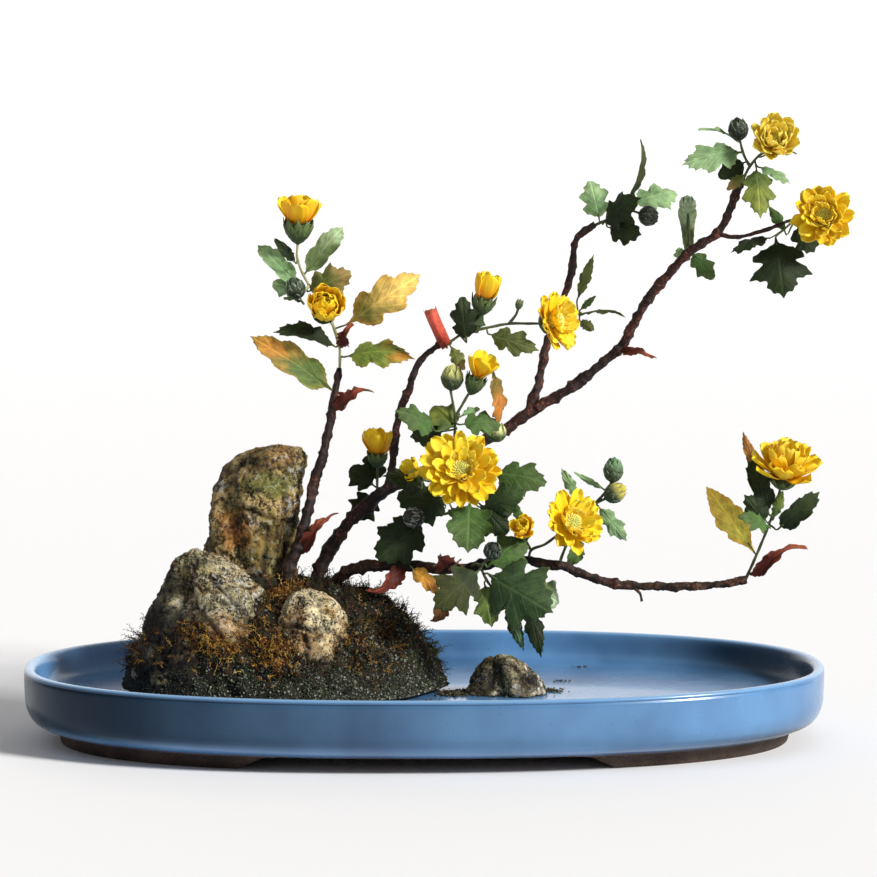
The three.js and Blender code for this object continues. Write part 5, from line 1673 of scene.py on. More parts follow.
SPRAYS = {
    "spray_left": Spray("leaf_green", (
        Leaf("upper left", (-53.5, 22, 191), (-71, 28, 208.5), 11, Tone.PALE),
        Leaf("small left", (-52, 23, 189), (-65.5, 27, 192), 8, Tone.PALE),
        Leaf("sliver", (-54.5, 18, 201), (-63.5, 12, 212), 6, Tone.DARK, Form.NARROW),
        Leaf("upper right", (-51.5, 24, 195.5), (-34.5, 34, 216), 12, Tone.GREYED),
        Leaf("right", (-50, 24, 188.5), (-30.5, 18, 197), 12.5, Tone.OLIVE),
        Leaf("under the bud", (-51, 14, 184), (-60, 6, 187), 4, Tone.DARK, Form.NARROW, Facing.UP),
        Leaf("folded", (-37.5, 15, 165.5), (-62.5, 5, 174), 11, Tone.DARK, facing=Facing.UPFRONT),
        Leaf("orange-tipped", (-34, 18, 161), (-5.5, 8, 163), 13, Tone.TURNING, facing=Facing.UPFRONT),
    ), (
        ((-36, 20, 155), (-36, 19, 165), (-38.5, 17, 174), (-42.6, 14.4, 179.4)),
        ((-36, 19, 165), (-41, 22, 180), (-50, 24, 193), (-54, 23, 203), (-53.5, 21, 212)),
        ((-49, 24, 191), (-52, 19, 188), (-53, 16, 187)),
    ), (Bud((-53, 16, 186), (-0.35, -0.3, 0.9), 4.3, 10.5, "#3A4A34", "#2A3626", "#A6B29A"),), "#A2A070"),
    "leaf_gold": Spray("leaf_gold", (
        Leaf("gold", (-33, 16, 175), (-2, 12, 196.5), 17, Tone.GOLD, Form.CLEFT),
    )),
    "leaf_rust": Spray("leaf_rust", (Leaf("rust", (-38.7, 17, 146.5), (-73, 8, 170.5), 15, Tone.RUST),)),
    "spray_high": Spray("leaf_green", (
        Leaf("left of the bud", (18, 6, 168), (16, 2, 188), 10, Tone.DARK),
        Leaf("right of the bud", (17, 8, 171), (25, 15, 181), 8, Tone.DEEP),
        Leaf("hanging", (27, 4, 172), (48, -5, 165.5), 9.5, Tone.SAGE, Form.CLEFT),
        Leaf("under the husk", (11, 2, 167), (17, -4, 157), 6, Tone.OLIVE, Form.NARROW),
    ), (
        ((9, 5, 167), (16, 7, 172), (22, 8, 180), (24.5, 8, 184)),
        ((16, 7, 172), (25, 5, 174), (36, 6, 176), (44.5, 7, 176), (49.8, 6.8, 176)),
        ((36, 6, 176), (39, 5, 180), (40, 4, 183)),
    ), (Bud((39.6, 4.4, 182), (0.3, 0, 1), 1.5, 5, "#6E7A4E"),)),
    "leaf_brown": Spray("leaf_rust", (
        Leaf("brown", (29, 4, 156), (32, 0, 134), 10, Tone.BROWNED, facing=Facing.RIGHT),
    )),
    "spray_wing": Spray("leaf_green", (
        Leaf("left", (5, -8, 131.5), (-12, -16, 141), 12, Tone.GREEN, facing=Facing.UPFRONT),
        Leaf("middle", (14, -2, 132), (3, 3, 141), 13, Tone.MOSSY, facing=Facing.UPFRONT),
        Leaf("right", (15, -5, 134), (33, 0, 134), 11, Tone.GREEN, facing=Facing.UPFRONT),
        Leaf("thin", (15, -2, 137), (24, 8, 140), 4, Tone.PALE, Form.NARROW, Facing.UPFRONT),
        Leaf("dark", (9, -2, 131), (-6, 4, 128), 9, Tone.DARK),
    ), (
        ((14, 18, 120), (13, 6, 126), (13, -2, 133), (13, -3, 137), (11, -3, 149)),
        ((13, -3, 137), (17, -3, 144), (20, -3, 149)),
    ), (Bud((11.2, -3, 148), (0.1, -0.1, 1), 4.7, 12, "#DADC84", "#34422A", "#4E5A34"),)),
    "spray_back": Spray("leaf_green", (
        Leaf("under the bud", (-21, 21, 105), (-32, 25, 113), 11, Tone.DARK),
        Leaf("behind the bud", (-20, 24, 106), (-22, 29, 122), 9, Tone.DARK),
        Leaf("left", (-21, 23, 102), (-30, 26, 90), 12, Tone.DARK),
    ), (((-20, 14, 102), (-20, 22, 105), (-20, 21, 115)),)),
    "bud_middle": Spray("leaf_green", (), (((34, 20, 129), (31, 11, 126), (30, 6, 127)),), (
        Bud((30, 6, 125.5), (0.15, -0.3, 1), 4.3, 9.5, "#DADE9C", "#4A5832", "#66703E"),
    )),
    "spray_front": Spray("leaf_green", (
        Leaf("right high", (29, -5, 113), (51.5, -14, 110), 15, Tone.GREEN, facing=Facing.UPFRONT),
        Leaf("right low", (24, -8, 99), (42, -17, 107), 12, Tone.DEEP),
        Leaf("left middle", (-1, 3, 106), (-17, -8, 113), 10, Tone.DARK, facing=Facing.UPFRONT),
        Leaf("below the bloom", (19, -14, 102), (18, -27, 83), 22, Tone.GREEN),
        Leaf("lower left", (0, -4, 93), (-20.5, -12, 77), 18, Tone.DARK),
        Leaf("behind low", (0, 4, 92), (-19, 7, 82), 10, Tone.DARK),
        Leaf("behind the striped bud", (9, 3, 99), (-12, 7, 103), 16, Tone.DARK),
        Leaf("under the bloom left", (9, -5, 104), (-6, -7, 93), 12, Tone.DARK),
        Leaf("under the bloom right", (23, -9, 101), (35, -13, 88), 13, Tone.DARK),
    ), (
        ((4, 17, 114), (9, 6, 113), (14, -6, 114), (15.2, -15.4, 112.8)),
        ((14, -6, 114), (18, -9, 106), (13, -7, 98), (3, -5, 95), (-2, -10, 94.8)),
        ((13, -3, 114), (22, -4.5, 112), (30, -4, 115)),
        ((9, 6, 113), (3, 7, 109), (-3, 4, 110.4)),
    ), (Bud((-1, -9, 94.8), (-0.7, -0.7, 0.15), 4.4, 10.5, "#3A3E34", "#1C1E18", "#D2D6CA"),)),
    "spray_low": Spray("leaf_green", (
        Leaf("left", (23, -26, 75), (4, -36, 60), 17, Tone.SHADE, Form.CLEFT),
        Leaf("big", (26, -24, 73), (53, -34, 58), 25, Tone.DEEP, Form.CLEFT),
        Leaf("down", (25, -22, 69), (28, -27, 51), 11, Tone.FRESH),
        Leaf("up", (26, -23, 75.5), (43, -17, 87), 16, Tone.GREEN, facing=Facing.UPFRONT),
        Leaf("drop left", (33, -17, 61), (42, -16, 39), 6, Tone.TIPPED, Form.NARROW),
        Leaf("drop right", (43, -15, 62), (49, -20, 37), 8, Tone.DARK, Form.NARROW),
        Leaf("pale", (43, -10, 66), (58, 1, 57), 13, Tone.PALING),
    ), (
        ((19, -10, 74), (22, -16, 76), (23, -20, 75.6), (29, -19, 66), (43, -13, 65)),
        ((23, -20, 75.6), (26, -24, 78.5), (28, -27, 82)),
    ), (Bud((27.6, -26.5, 81), (0.15, -0.8, 0.55), 3.8, 8.5, "#2E3A2C", "#1E281C", "#7E8A78"),)),
    "spray_pair": Spray("leaf_green", (
        Leaf("pointed", (42, -7, 88), (38, 4, 101), 4, Tone.GREEN, Form.NARROW),
    ), (((44, -9, 76), (45, -10, 81), (51, -9, 83.5), (58, -7, 88.6)), ((45, -10, 81), (41.4, -15, 88)))),
    "leaf_amber": Spray("leaf_rust", (Leaf("amber", (-6, -12, 74.5), (7, -14, 63), 8, Tone.AMBER),)),
    "leaf_umber": Spray("leaf_rust", (Leaf("umber", (9, -14, 64.5), (4, -13, 50), 9, Tone.UMBER),)),
    "spray_right": Spray("leaf_green", (
        Leaf("pointed", (67, 12, 98), (59, 20, 113), 5, Tone.PALE, Form.NARROW),
        Leaf("curl", (78, 12, 104), (66, 20, 110), 3, Tone.PALE, Form.NARROW),
        Leaf("right", (74, 10, 98), (87, 14, 82), 7, Tone.PALE),
        Leaf("below the bloom", (68, 4, 82), (61, 0, 73), 8, Tone.GREEN, Form.NARROW),
    ), (
        ((57, -8, 75), (61, 1, 83), (68, 8, 94), (74, 10, 99), (78, 10, 101)),
        ((73, 10, 98), (78, 12, 104), (80.5, 13, 108)),
    ), (
        Bud((80.5, 13, 107), (0.1, 0.1, 1), 4.2, 11.5, "#5E8A5A"),
        Bud((77, 10, 100.5), (0.8, -0.1, 0.5), 4.2, 11, "#C8B83A"),
    )),
    "spray_head": Spray("leaf_green", (
        Leaf("left", (134, -6, 249), (108, -16, 244), 13, Tone.PALE, facing=Facing.UPFRONT),
        Leaf("folded", (133, 2, 253), (115, -2, 259), 4, Tone.PALE, Form.NARROW, Facing.UP),
        Leaf("dark", (136, 0, 245), (124, 2, 238), 8, Tone.DARK),
        Leaf("down", (139, -12, 243), (140, -24, 223), 12, Tone.MOSSY),
        Leaf("arched", (140, -9, 243), (153, -16, 236), 8, Tone.PALE, facing=Facing.UP),
        Leaf("right", (142, -4, 247), (158, 4, 249), 7, Tone.DARK, facing=Facing.UP),
        Leaf("brownish", (135, -6, 240), (127, -9, 233), 5, Tone.OLIVE, Form.NARROW),
    ), (
        ((134, -3, 237), (137, -5, 243), (140, -7, 247), (144.5, -8.6, 250.4)),
        ((137, -5, 243), (134.5, -3, 248), (133, -2, 254)),
    ), (Bud((133, -2, 253.5), (-0.15, -0.1, 1), 4.2, 10.5, "#26301F", "#1A2217", "#8C9880"),)),
    "spray_tip": Spray("leaf_green", (
        Leaf("skirt", (148, -5, 213), (151, -14, 189), 21, Tone.DARK, Form.CLEFT),
        Leaf("skirt left", (146, -5, 213), (129, -10, 207), 9, Tone.DARK, facing=Facing.UP),
        Leaf("small", (153, -3, 214), (146, 4, 226), 5, Tone.GREEN, Form.NARROW),
        Leaf("behind", (157, 0, 219), (166, 6, 206), 11, Tone.DARK),
    ), (((152, -6, 219.7), (158, -6.5, 221), (167.8, -7.6, 220.6)),)),
    "spray_fork": Spray("leaf_green", (
        Leaf("pale left", (76, 35, 218), (72, 41, 236), 11, Tone.PALE),
        Leaf("dark", (77, 31, 217), (92, 23, 229), 15, Tone.DARK, facing=Facing.UPFRONT),
        Leaf("tall", (86, 31, 224), (95, 33, 254), 6, Tone.SHADE, Form.NARROW, Facing.RIGHT),
        Leaf("pale right", (90, 35, 225), (110, 44, 230), 13, Tone.PALE, facing=Facing.UPFRONT),
        Leaf("low", (79, 30, 216), (93, 23, 213), 11, Tone.DARK),
    ), (((74, 33, 216.7), (81, 32, 220), (88, 32, 225)), ((86, 32, 223.6), (91, 29, 222.5), (94, 27, 221.4))), (
        Bud((92.5, 28, 221.8), (0.8, -0.5, -0.2), 4.3, 9.5, "#343C2C", "#20271A", "#77806A"),
    )),
    "spray_roll": Spray("leaf_green", (
        Leaf("funnel", (113, 18, 207), (112, 16, 227), 12, Tone.PALING, Form.FUNNEL),
        Leaf("low", (114, 18, 206), (124, 16, 194), 8, Tone.GREEN),
        Leaf("small", (113, 20, 206), (107, 25, 204), 5, Tone.PALE, Form.NARROW),
    ), (
        ((112, 5, 205.5), (113, 12, 206), (113, 18, 207)),
        ((113, 12, 206), (112.8, 14, 215), (112.5, 15, 223)),
    ), (Bud((112.5, 15, 222), (-0.05, -0.15, 1), 3.6, 8.5, "#C2D4B4", "#8FA67E", "#5E7450"),)),
    "spray_sprig": Spray("leaf_green", (
        Leaf("up", (66, 30, 184), (73, 28, 204), 5, Tone.SAGE, Form.NARROW),
        Leaf("middle", (67, 28, 180), (74, 24, 187), 3, Tone.GREEN, Form.NARROW),
        Leaf("right", (67, 28, 178), (86, 20, 179), 6, Tone.SAGE, Form.NARROW, Facing.UP),
        Leaf("low", (67, 27, 176), (73, 20, 172), 5, Tone.SAGE, Form.NARROW),
    ), (((58, 29, 178), (63, 29, 178.5), (68, 28.5, 179)),)),
    "leaf_lemon": Spray("leaf_lemon", (
        Leaf("lemon", (140, -12, 79.5), (119.5, -4, 107.5), 12.5, Tone.LEMON, Form.NARROW),
    )),
    "spray_end": Spray("leaf_green", (
        Leaf("tall", (145, -20, 97), (137, -15, 120), 12, Tone.DARK),
        Leaf("small", (144, -22, 94), (134, -25, 106), 8, Tone.DARK),
        Leaf("front", (145, -24, 92), (131, -32, 98), 9, Tone.GREEN, facing=Facing.UPFRONT),
        Leaf("folded right", (148, -22, 91), (165, -26, 107), 12, Tone.DARK),
        Leaf("behind the bloom", (146, -10, 104), (134.5, 2, 131), 6, Tone.FLAME, Form.NARROW),
        Leaf("sheath", (146.5, -20, 95), (150.5, -20, 107.5), 5, Tone.FRESH, Form.NARROW),
    ), (((135.5, -14, 68.8), (139, -15, 77), (143, -16, 87), (146.6, -17, 97), (149.9, -16.8, 108.4)),)),
    "husk_left": Spray("husk", (Leaf("husk", (-37, 13, 140), (-22, 8, 149), 10, Tone.HUSK, Form.TORN),)),
    "husk_top": Spray("husk", (Leaf("husk", (-33, 15, 165), (-31, 11, 176.5), 9, Tone.HUSK, Form.TORN),)),
    "husk_high": Spray("husk", (Leaf("husk", (11, 1, 164), (1.5, -2, 183), 11, Tone.SCARLET, Form.ROLLED),)),
    "husk_main": Spray("husk", (Leaf("husk", (84, 12, 164), (99, 8, 161), 6, Tone.HUSK, Form.TORN),)),
    "husk_end": Spray("husk", (Leaf("husk", (140, -17, 70), (160, -22, 86), 9, Tone.HUSK, Form.TORN),)),
    "husk_low": Spray("husk", (Leaf("husk", (-9, -10, 71), (-23, -15, 63), 12, Tone.HUSK, Form.TORN),)),
    "husk_knot": Spray("husk", (Leaf("husk", (10, -12, 71), (8, -17, 82), 14, Tone.HUSK, Form.TORN),)),
    "husk_base": Spray("husk", (Leaf("husk", (-51, -2, 78), (-37, -4, 98), 9, Tone.HUSK, Form.TORN),)),
}


@dataclass(frozen=True)
class Habit:
    """How a blade is bent: rolled across, twisted along, curled at the tip and ruffled at the edge. Teeth is
    how deep its teeth are, as a share of the usual depth."""

    roll: float = 0.3
    twist: float = 0.0
    curl: float = 0.12
    ruffle: float = 0.8
    teeth: float = 1.0


HABITS = {
    "funnel": Habit(roll=1.5, curl=0.0, ruffle=0.5),
    "folded": Habit(roll=1.1, curl=0.1),
    "folded right": Habit(roll=1.35, curl=0.1, ruffle=0.6),
    "sliver": Habit(roll=1.2, curl=0.2),
    "lemon": Habit(roll=0.5, curl=0.15, ruffle=0.7, teeth=0.4),
    "husk": Habit(roll=1.5, twist=1.6, curl=0.3, ruffle=1.7),
    "knot": Habit(roll=0.9, twist=1.2, curl=-0.5, ruffle=2.6),
    "rolled": Habit(roll=2.0, twist=0.3, curl=0.0, ruffle=0.9),
    "below the bloom": Habit(roll=1.1, curl=0.15, ruffle=0.7),
    "tall": Habit(roll=1.3, curl=0.1, ruffle=0.6),
    "lower left": Habit(roll=0.4, curl=0.1, ruffle=1.0),
    "upper left": Habit(roll=1.35, curl=0.15, ruffle=0.5, teeth=0.5),
    "upper right": Habit(roll=1.3, curl=0.2, ruffle=0.6, teeth=0.6),
    "rust": Habit(roll=1.1, curl=0.1, ruffle=0.8, teeth=0.6),
    "gold": Habit(roll=0.9, curl=0.2, ruffle=1.0, teeth=0.6),
    "orange-tipped": Habit(roll=0.5, curl=0.3, ruffle=0.8),
    "brown": Habit(roll=0.7, twist=0.15, curl=0.2, ruffle=1.3),
    "umber": Habit(roll=1.2, twist=1.0, curl=0.3, ruffle=1.4),
    "amber": Habit(roll=1.0, twist=0.7, curl=0.3, ruffle=1.2),
    "curl": Habit(roll=0.6, curl=-1.2),
    "behind the bloom": Habit(roll=0.9, twist=0.5, curl=0.2, ruffle=0.6),
}


@dataclass(frozen=True)
class Husk:
    """An egg or cup of overlapping green scales about an axis, as a bud or as the calyx of a bloom."""

    foot: Array
    axis: Array
    radius: float
    height: float
    closed: bool
    colour: str
    tip: str
    rows: int = 3
    around: int = 8
    rim: str = "#251A10"
    thickness: float = 0.16

    def place(self, level: Array, angle: Array, lift: Array) -> Array:
        """Points over the egg or cup.

        Args:
            level: How high each is, from 0 to 1.
            angle: The angle of each.
            lift: How far each stands off, in millimetres.

        Returns:
            The points.
        """
        east, north = cross_axes(self.axis)
        level = np.clip(level, 0, 1 if self.closed else 1.5)
        if self.closed:
            reach = np.sin(math.pi * level**0.85) ** 0.7
        else:
            reach = np.sin(np.minimum(1, level) * math.pi / 2) ** 0.78 - 0.06 * np.maximum(0, level - 1)
        out = self.radius * reach + lift * np.minimum(1, reach * 3)
        radial = np.outer(np.cos(angle), east) + np.outer(np.sin(angle), north)
        return self.foot + radial * out[:, None] + np.outer(level * self.height, self.axis)

    def build(self, assembly: Assembly) -> None:
        """Moulds the body and its rows of scales.

        Args:
            assembly: Where they go.
        """
        random = assembly.random
        body = ball_blank(*SMALL_BALL)
        level = body.level if self.closed else body.level**0.8
        points = self.place(level, body.angle, np.zeros(len(level)))
        green, tip = shade(self.colour), shade(self.tip)
        assembly.add(body, points, blend(green * 0.7, tip, ease(level, 0.6, 1.0)), Skin.SCALE)
        scale = sheet_blank(3, 4)
        across = scale.points[:, 0]
        along = (scale.points[:, 1] + 1) / 2
        thick = scale.points[:, 2] * self.thickness
        for row in range(self.rows):
            low = row / self.rows * (0.62 if self.closed else 0.5)
            high = low + (0.5 if self.closed else 0.62 + 0.16 * row)
            for number in range(self.around):
                middle = (number + row * 0.5) / self.around * 2 * math.pi + random.normal(0, 0.08)
                wide = math.pi / self.around * random.uniform(1.1, 1.35)
                narrowing = np.sqrt(np.maximum(0.02, 1 - along**2.4))
                reach = high + random.normal(0, 0.03)
                climb = low + (reach - low) * (along - 0.1 * across**2 * along)
                lift = 0.25 + row * 0.12 + 0.45 * along**3 - 0.14 * across**2 + thick
                placed = self.place(climb, middle + across * wide * narrowing, lift)
                dry = ease(np.abs(across) * 0.6 + along * 0.45, 0.7, 0.95)
                tint = blend(blend(green, tip, ease(climb, 0.42, 0.85)), shade(self.rim), dry * 0.75)
                assembly.add(scale, placed, tint * random.uniform(0.85, 1.15), Skin.SCALE)


def cross_axes(axis: Array) -> tuple[Array, Array]:
    """Two unit axes square to one, the first level where it can be, as in the part's source.

    Args:
        axis: The axis, at length 1.

    Returns:
        The two axes.
    """
    east = np.cross(np.array([0.0, 0.0, 1.0]), axis)
    if np.linalg.norm(east) < 0.1:
        east = np.array([1.0, 0.0, 0.0])
    east = unit(east - axis * (east @ axis))
    return east, np.cross(axis, east)


@dataclass
class Foliage:
    """All leaves, stalks, buds and calyxes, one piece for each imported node."""

    arch: float = 0.1
    fold: float = 0.28
    heart: float = 0.42
    thickness: float = 0.26
    stalk: float = 0.66
    petiole: float = 0.44
    petiole_green: str = "#4E6034"
    petiole_dry: str = "#4E2018"
    calyx_colours: tuple[str, str] = ("#3A4C2A", "#566A38")
    underside: str = "#8FA07E"
    tooth: float = 2.7
    clearance: float = 3.0
    rim_faces: int = 120
    rings: int = 12
    wood: Array = field(default_factory=lambda: np.concatenate([Spine(s.path).places for s in STEMS.values()]))
    seed: int = 23

    def build(self) -> None:
        """Builds the pieces."""
        dry = LeafSkin("dry_leaf_sheath", roughness=0.5, sheen=0.05, vein_gap=0.11, vein_slant=-0.2)
        stalk = TintedMatter("haired_green_stalk", size=1.2, roughness=0.6, depth=0.15, contrast=0.25)
        scales = TintedMatter("bud_scales", size=0.9, roughness=0.7, depth=0.15, contrast=0.25)
        skins = [finish.material() for finish in (LeafSkin("haired_chrysanthemum_leaf"), dry, stalk, scales)]
        twigs = self.twigs()
        for number, (node, spray) in enumerate(SPRAYS.items()):
            assembly = Assembly(np.random.default_rng(self.seed + number))
            for twig in twigs.get(node, []):
                self.stalk_on(assembly, twig, self.stalk, self.stalk * 0.85, spray.stalk)
            for one in spray.leaves:
                self.blade(assembly, one, nearest(self.carriers(node, twigs), one.base))
            for bud in spray.buds:
                foot, axis = np.array(bud.foot, float), unit(np.array(bud.direction, float))
                husk = Husk(foot, axis, bud.radius - 0.5, bud.height, True, bud.body, bud.tip, rim=bud.rim)
                husk.build(assembly)
            for bloom in BLOOMS:
                if bloom.calyx.node == node:
                    self.calyx(assembly, bloom)
            kind = "sheath" if spray.slot == "husk" else "leaves"
            hand_over(assembly.build(f"{node}_{kind}", skins), spray.slot, node)

    def twigs(self) -> dict[str, list[Path]]:
        """The stalks of each node, each but the first starting on the axis of an earlier one.

        Returns:
            Their paths, by node.
        """
        made = {}
        for node, spray in SPRAYS.items():
            places: list[Array] = []
            for path in spray.stalks:
                start = nearest(np.concatenate(places), path[0]) if places else path[0]
                twig = [start, *path[1:]]
                places.append(Spine(twig).places)
                made.setdefault(node, []).append(twig)
        return made

    def carriers(self, node: str, twigs: dict[str, list[Path]]) -> Array:
        """Where a node's leaves can spring from: its stalks outside the wood, or any wood and stalk.

        Args:
            node: The node.
            twigs: All stalks, by node.

        Returns:
            The places.
        """
        if node not in twigs:
            every = [Spine(twig).places for paths in twigs.values() for twig in paths]
            return np.concatenate([self.wood, *every])
        own = np.concatenate([Spine(twig).places for twig in twigs[node]])
        gaps = np.linalg.norm(own[:, None] - self.wood[None], axis=2).min(axis=1)
        return own[gaps > self.clearance]

    def stalk_on(self, assembly: Assembly, path: Path, start: float, end: float, colour: str) -> None:
        """Bends a stalk or petiole along a path.

        Args:
            assembly: Where it goes.
            path: Its points.
            start: Its radius at the start.
            end: Its radius at the end.
            colour: Its hex colour.
        """
        spine = Spine(path, 80)
        blank = rod_blank(7, max(2, math.ceil(math.sqrt(spine.length / 1.2))))
        share = blank.share
        swell = 1 + 0.1 * np.sin(share * spine.length * 0.9 + blank.angle * 2)
        radius = (start + (end - start) * share) * swell
        points = spine.skin(blank, radius)
        tint = shade(colour) * (1 + 0.35 * grain(points, 5, 2, 2))[:, None]
        assembly.add(blank, points, np.clip(tint, 0, 1), Skin.STALK)

    def calyx(self, assembly: Assembly, bloom: "Bloom") -> None:
        """Moulds the green cup under a bloom.

        Args:
            assembly: Where it goes.
            bloom: The bloom.
        """
        high, wide = bloom.calyx.height, bloom.calyx.radius - 0.6
        foot = np.array(bloom.seat, float) - bloom.axis * high
        Husk(foot, bloom.axis, wide, high - 0.25, False, *self.calyx_colours, around=9).build(assembly)

    def blade(self, assembly: Assembly, leaf: Leaf, start: Array) -> None:
        """Moulds one leaf and its petiole.

        Args:
            assembly: Where they go.
            leaf: The leaf.
            start: Where the petiole springs from.
        """
        random = assembly.random
        root, tip = np.array(leaf.base, float), np.array(leaf.tip, float)
        if leaf.what == "husk":
            root = start + (root - start) * 0.4
        length = float(np.linalg.norm(tip - root))
        axis = (tip - root) / length
        normal = square_to(axis, np.array(leaf.facing.value))
        if normal is None:
            normal = square_to(axis, np.array([0.0, -1.0, 1.0]))
        side = np.cross(axis, normal)
        half = leaf.width / 2
        habit = HABITS.get(leaf.what, Habit())
        if leaf.form is Form.ROLLED:
            habit = HABITS["rolled"]
        elif leaf.what == "husk" and leaf.width > 13:
            habit = HABITS["knot"]
        blank = ball_blank(self.rim_faces, self.rings)
        share = np.hypot(blank.points[:, 0], blank.points[:, 1])
        around = ((blank.angle - math.pi) % (2 * math.pi)) / (2 * math.pi)
        edge = smooth_path(mirrored(leaf.form.value) * (length, half), 600) / (length, half)
        teeth = max(13, round(2.3 * length / self.tooth))
        deep = (0.035 + 0.055 * min(1, length / 25)) * habit.teeth
        cuts = 1 + deep * (0.42 - np.abs(np.sin(around * math.pi * teeth)))
        places = np.linspace(0, 1, len(edge))
        cut = cuts ** np.where(share > 0.8, 1, 0)
        along = self.heart + share * cut * (np.interp(around, places, edge[:, 0]) - self.heart)
        across = share * cuts * np.interp(around, places, edge[:, 1])
        ripple = np.sin(around * 2 * math.pi * 5 + random.uniform(0, 6)) + 0.5 * np.sin(
            around * 2 * math.pi * 11 + random.uniform(0, 6)
        )
        rise = (
            self.arch * length * 4 * along * (1 - along)
            - self.fold * (np.sqrt(across**2 + 0.012) - 0.11) * half
            + habit.ruffle * 0.55 * ripple * share**3
            - 0.2 * np.exp(-((across / 0.07) ** 2)) * (length > 14)
            - (habit.curl + random.normal(0, 0.06)) * length * np.maximum(0, along - 0.55) ** 2 * 1.6
        )
        rise = rise + blank.points[:, 2] * self.thickness
        bend = habit.roll
        wide = half * np.sin(bend * across) / bend
        raised = -1.0 if leaf.form is Form.ROLLED else 1.0 if habit.roll > 1 else 0.2
        rise = rise + half * (1 - np.cos(bend * across)) / bend * raised
        turn = habit.twist * (along - 0.2) + random.normal(0, 0.06)
        sideways = wide * np.cos(turn) - rise * np.sin(turn)
        upwards = wide * np.sin(turn) + rise * np.cos(turn)
        points = root + np.outer(along * length, axis) + np.outer(sideways, side) + np.outer(upwards, normal)
        tint = self.leaf_tint(leaf, points, along, share, blank.points[:, 2], random)
        dried = leaf.what == "husk"
        skin = Skin.DRY if dried else Skin.LEAF
        assembly.add(blank, points, tint, skin, np.column_stack([along, across]))
        gap = float(np.linalg.norm(root - start))
        bend_down = [start, (start + root) / 2 - normal * 0.05 * gap] if gap > 0.8 else []
        path = [*bend_down, root, root + axis * length * 0.16 + normal * (self.arch * length * 0.5)]
        colour = self.petiole_dry if dried else self.petiole_green
        self.stalk_on(assembly, path, self.petiole, self.petiole * 0.7, colour)

    def leaf_tint(
        self, leaf: Leaf, points: Array, along: Array, share: Array, face: Array, random: Random
    ) -> Array:
        """The colour of each point of a leaf: base to tip, its edge, its paler underside.

        Args:
            leaf: The leaf.
            points: Its points.
            along: How far along it each is.
            share: How far from its heart to its edge each is.
            face: Above 0 on the upper side, under 0 below.
            random: Where its small differences come from.

        Returns:
            The linear colours.
        """
        *colours, start = leaf.tone.value
        base, tip, edge = map(shade, colours)
        mix = ease(along + grain(points, 6, 2, random.uniform(0, 50)) * 0.25, start, 0.95)
        tint = blend(blend(base, tip, mix), edge, ease(share, 0.7, 1.0) * 0.6)
        under = blend(tint, shade(self.underside), np.full(len(face), 0.3))
        tint = np.where(face[:, None] < 0, under * 0.9, tint)
        return np.clip(tint * random.uniform(0.9, 1.1), 0, 1)


# blooms

PETAL, FLORET = 0, 1


@dataclass(frozen=True)
class PetalRow:
    """One row of petals: how many, their length and width, and their tilt from flat in degrees."""

    count: int
    length: float
    width: float
    tilt: float


@dataclass(frozen=True)
class Calyx:
    """The cup under a bloom: the node that holds it, its radius and its height."""

    node: str
    radius: float
    height: float


@dataclass(frozen=True)
class Bloom:
    """One bloom: the middle of its calyx's top, the way it looks, its rows, its disc and its calyx."""

    node: str
    seat: Point
    looks: Point
    rows: tuple[tuple[float, ...], ...]
    disc: float
    calyx: Calyx
    warm: float = 0.0
    cup: float = 0.0
    close: float = 0.16

    @property
    def axis(self) -> Array:
        """The way it looks, at length 1."""
        return unit(np.array(self.looks, float))


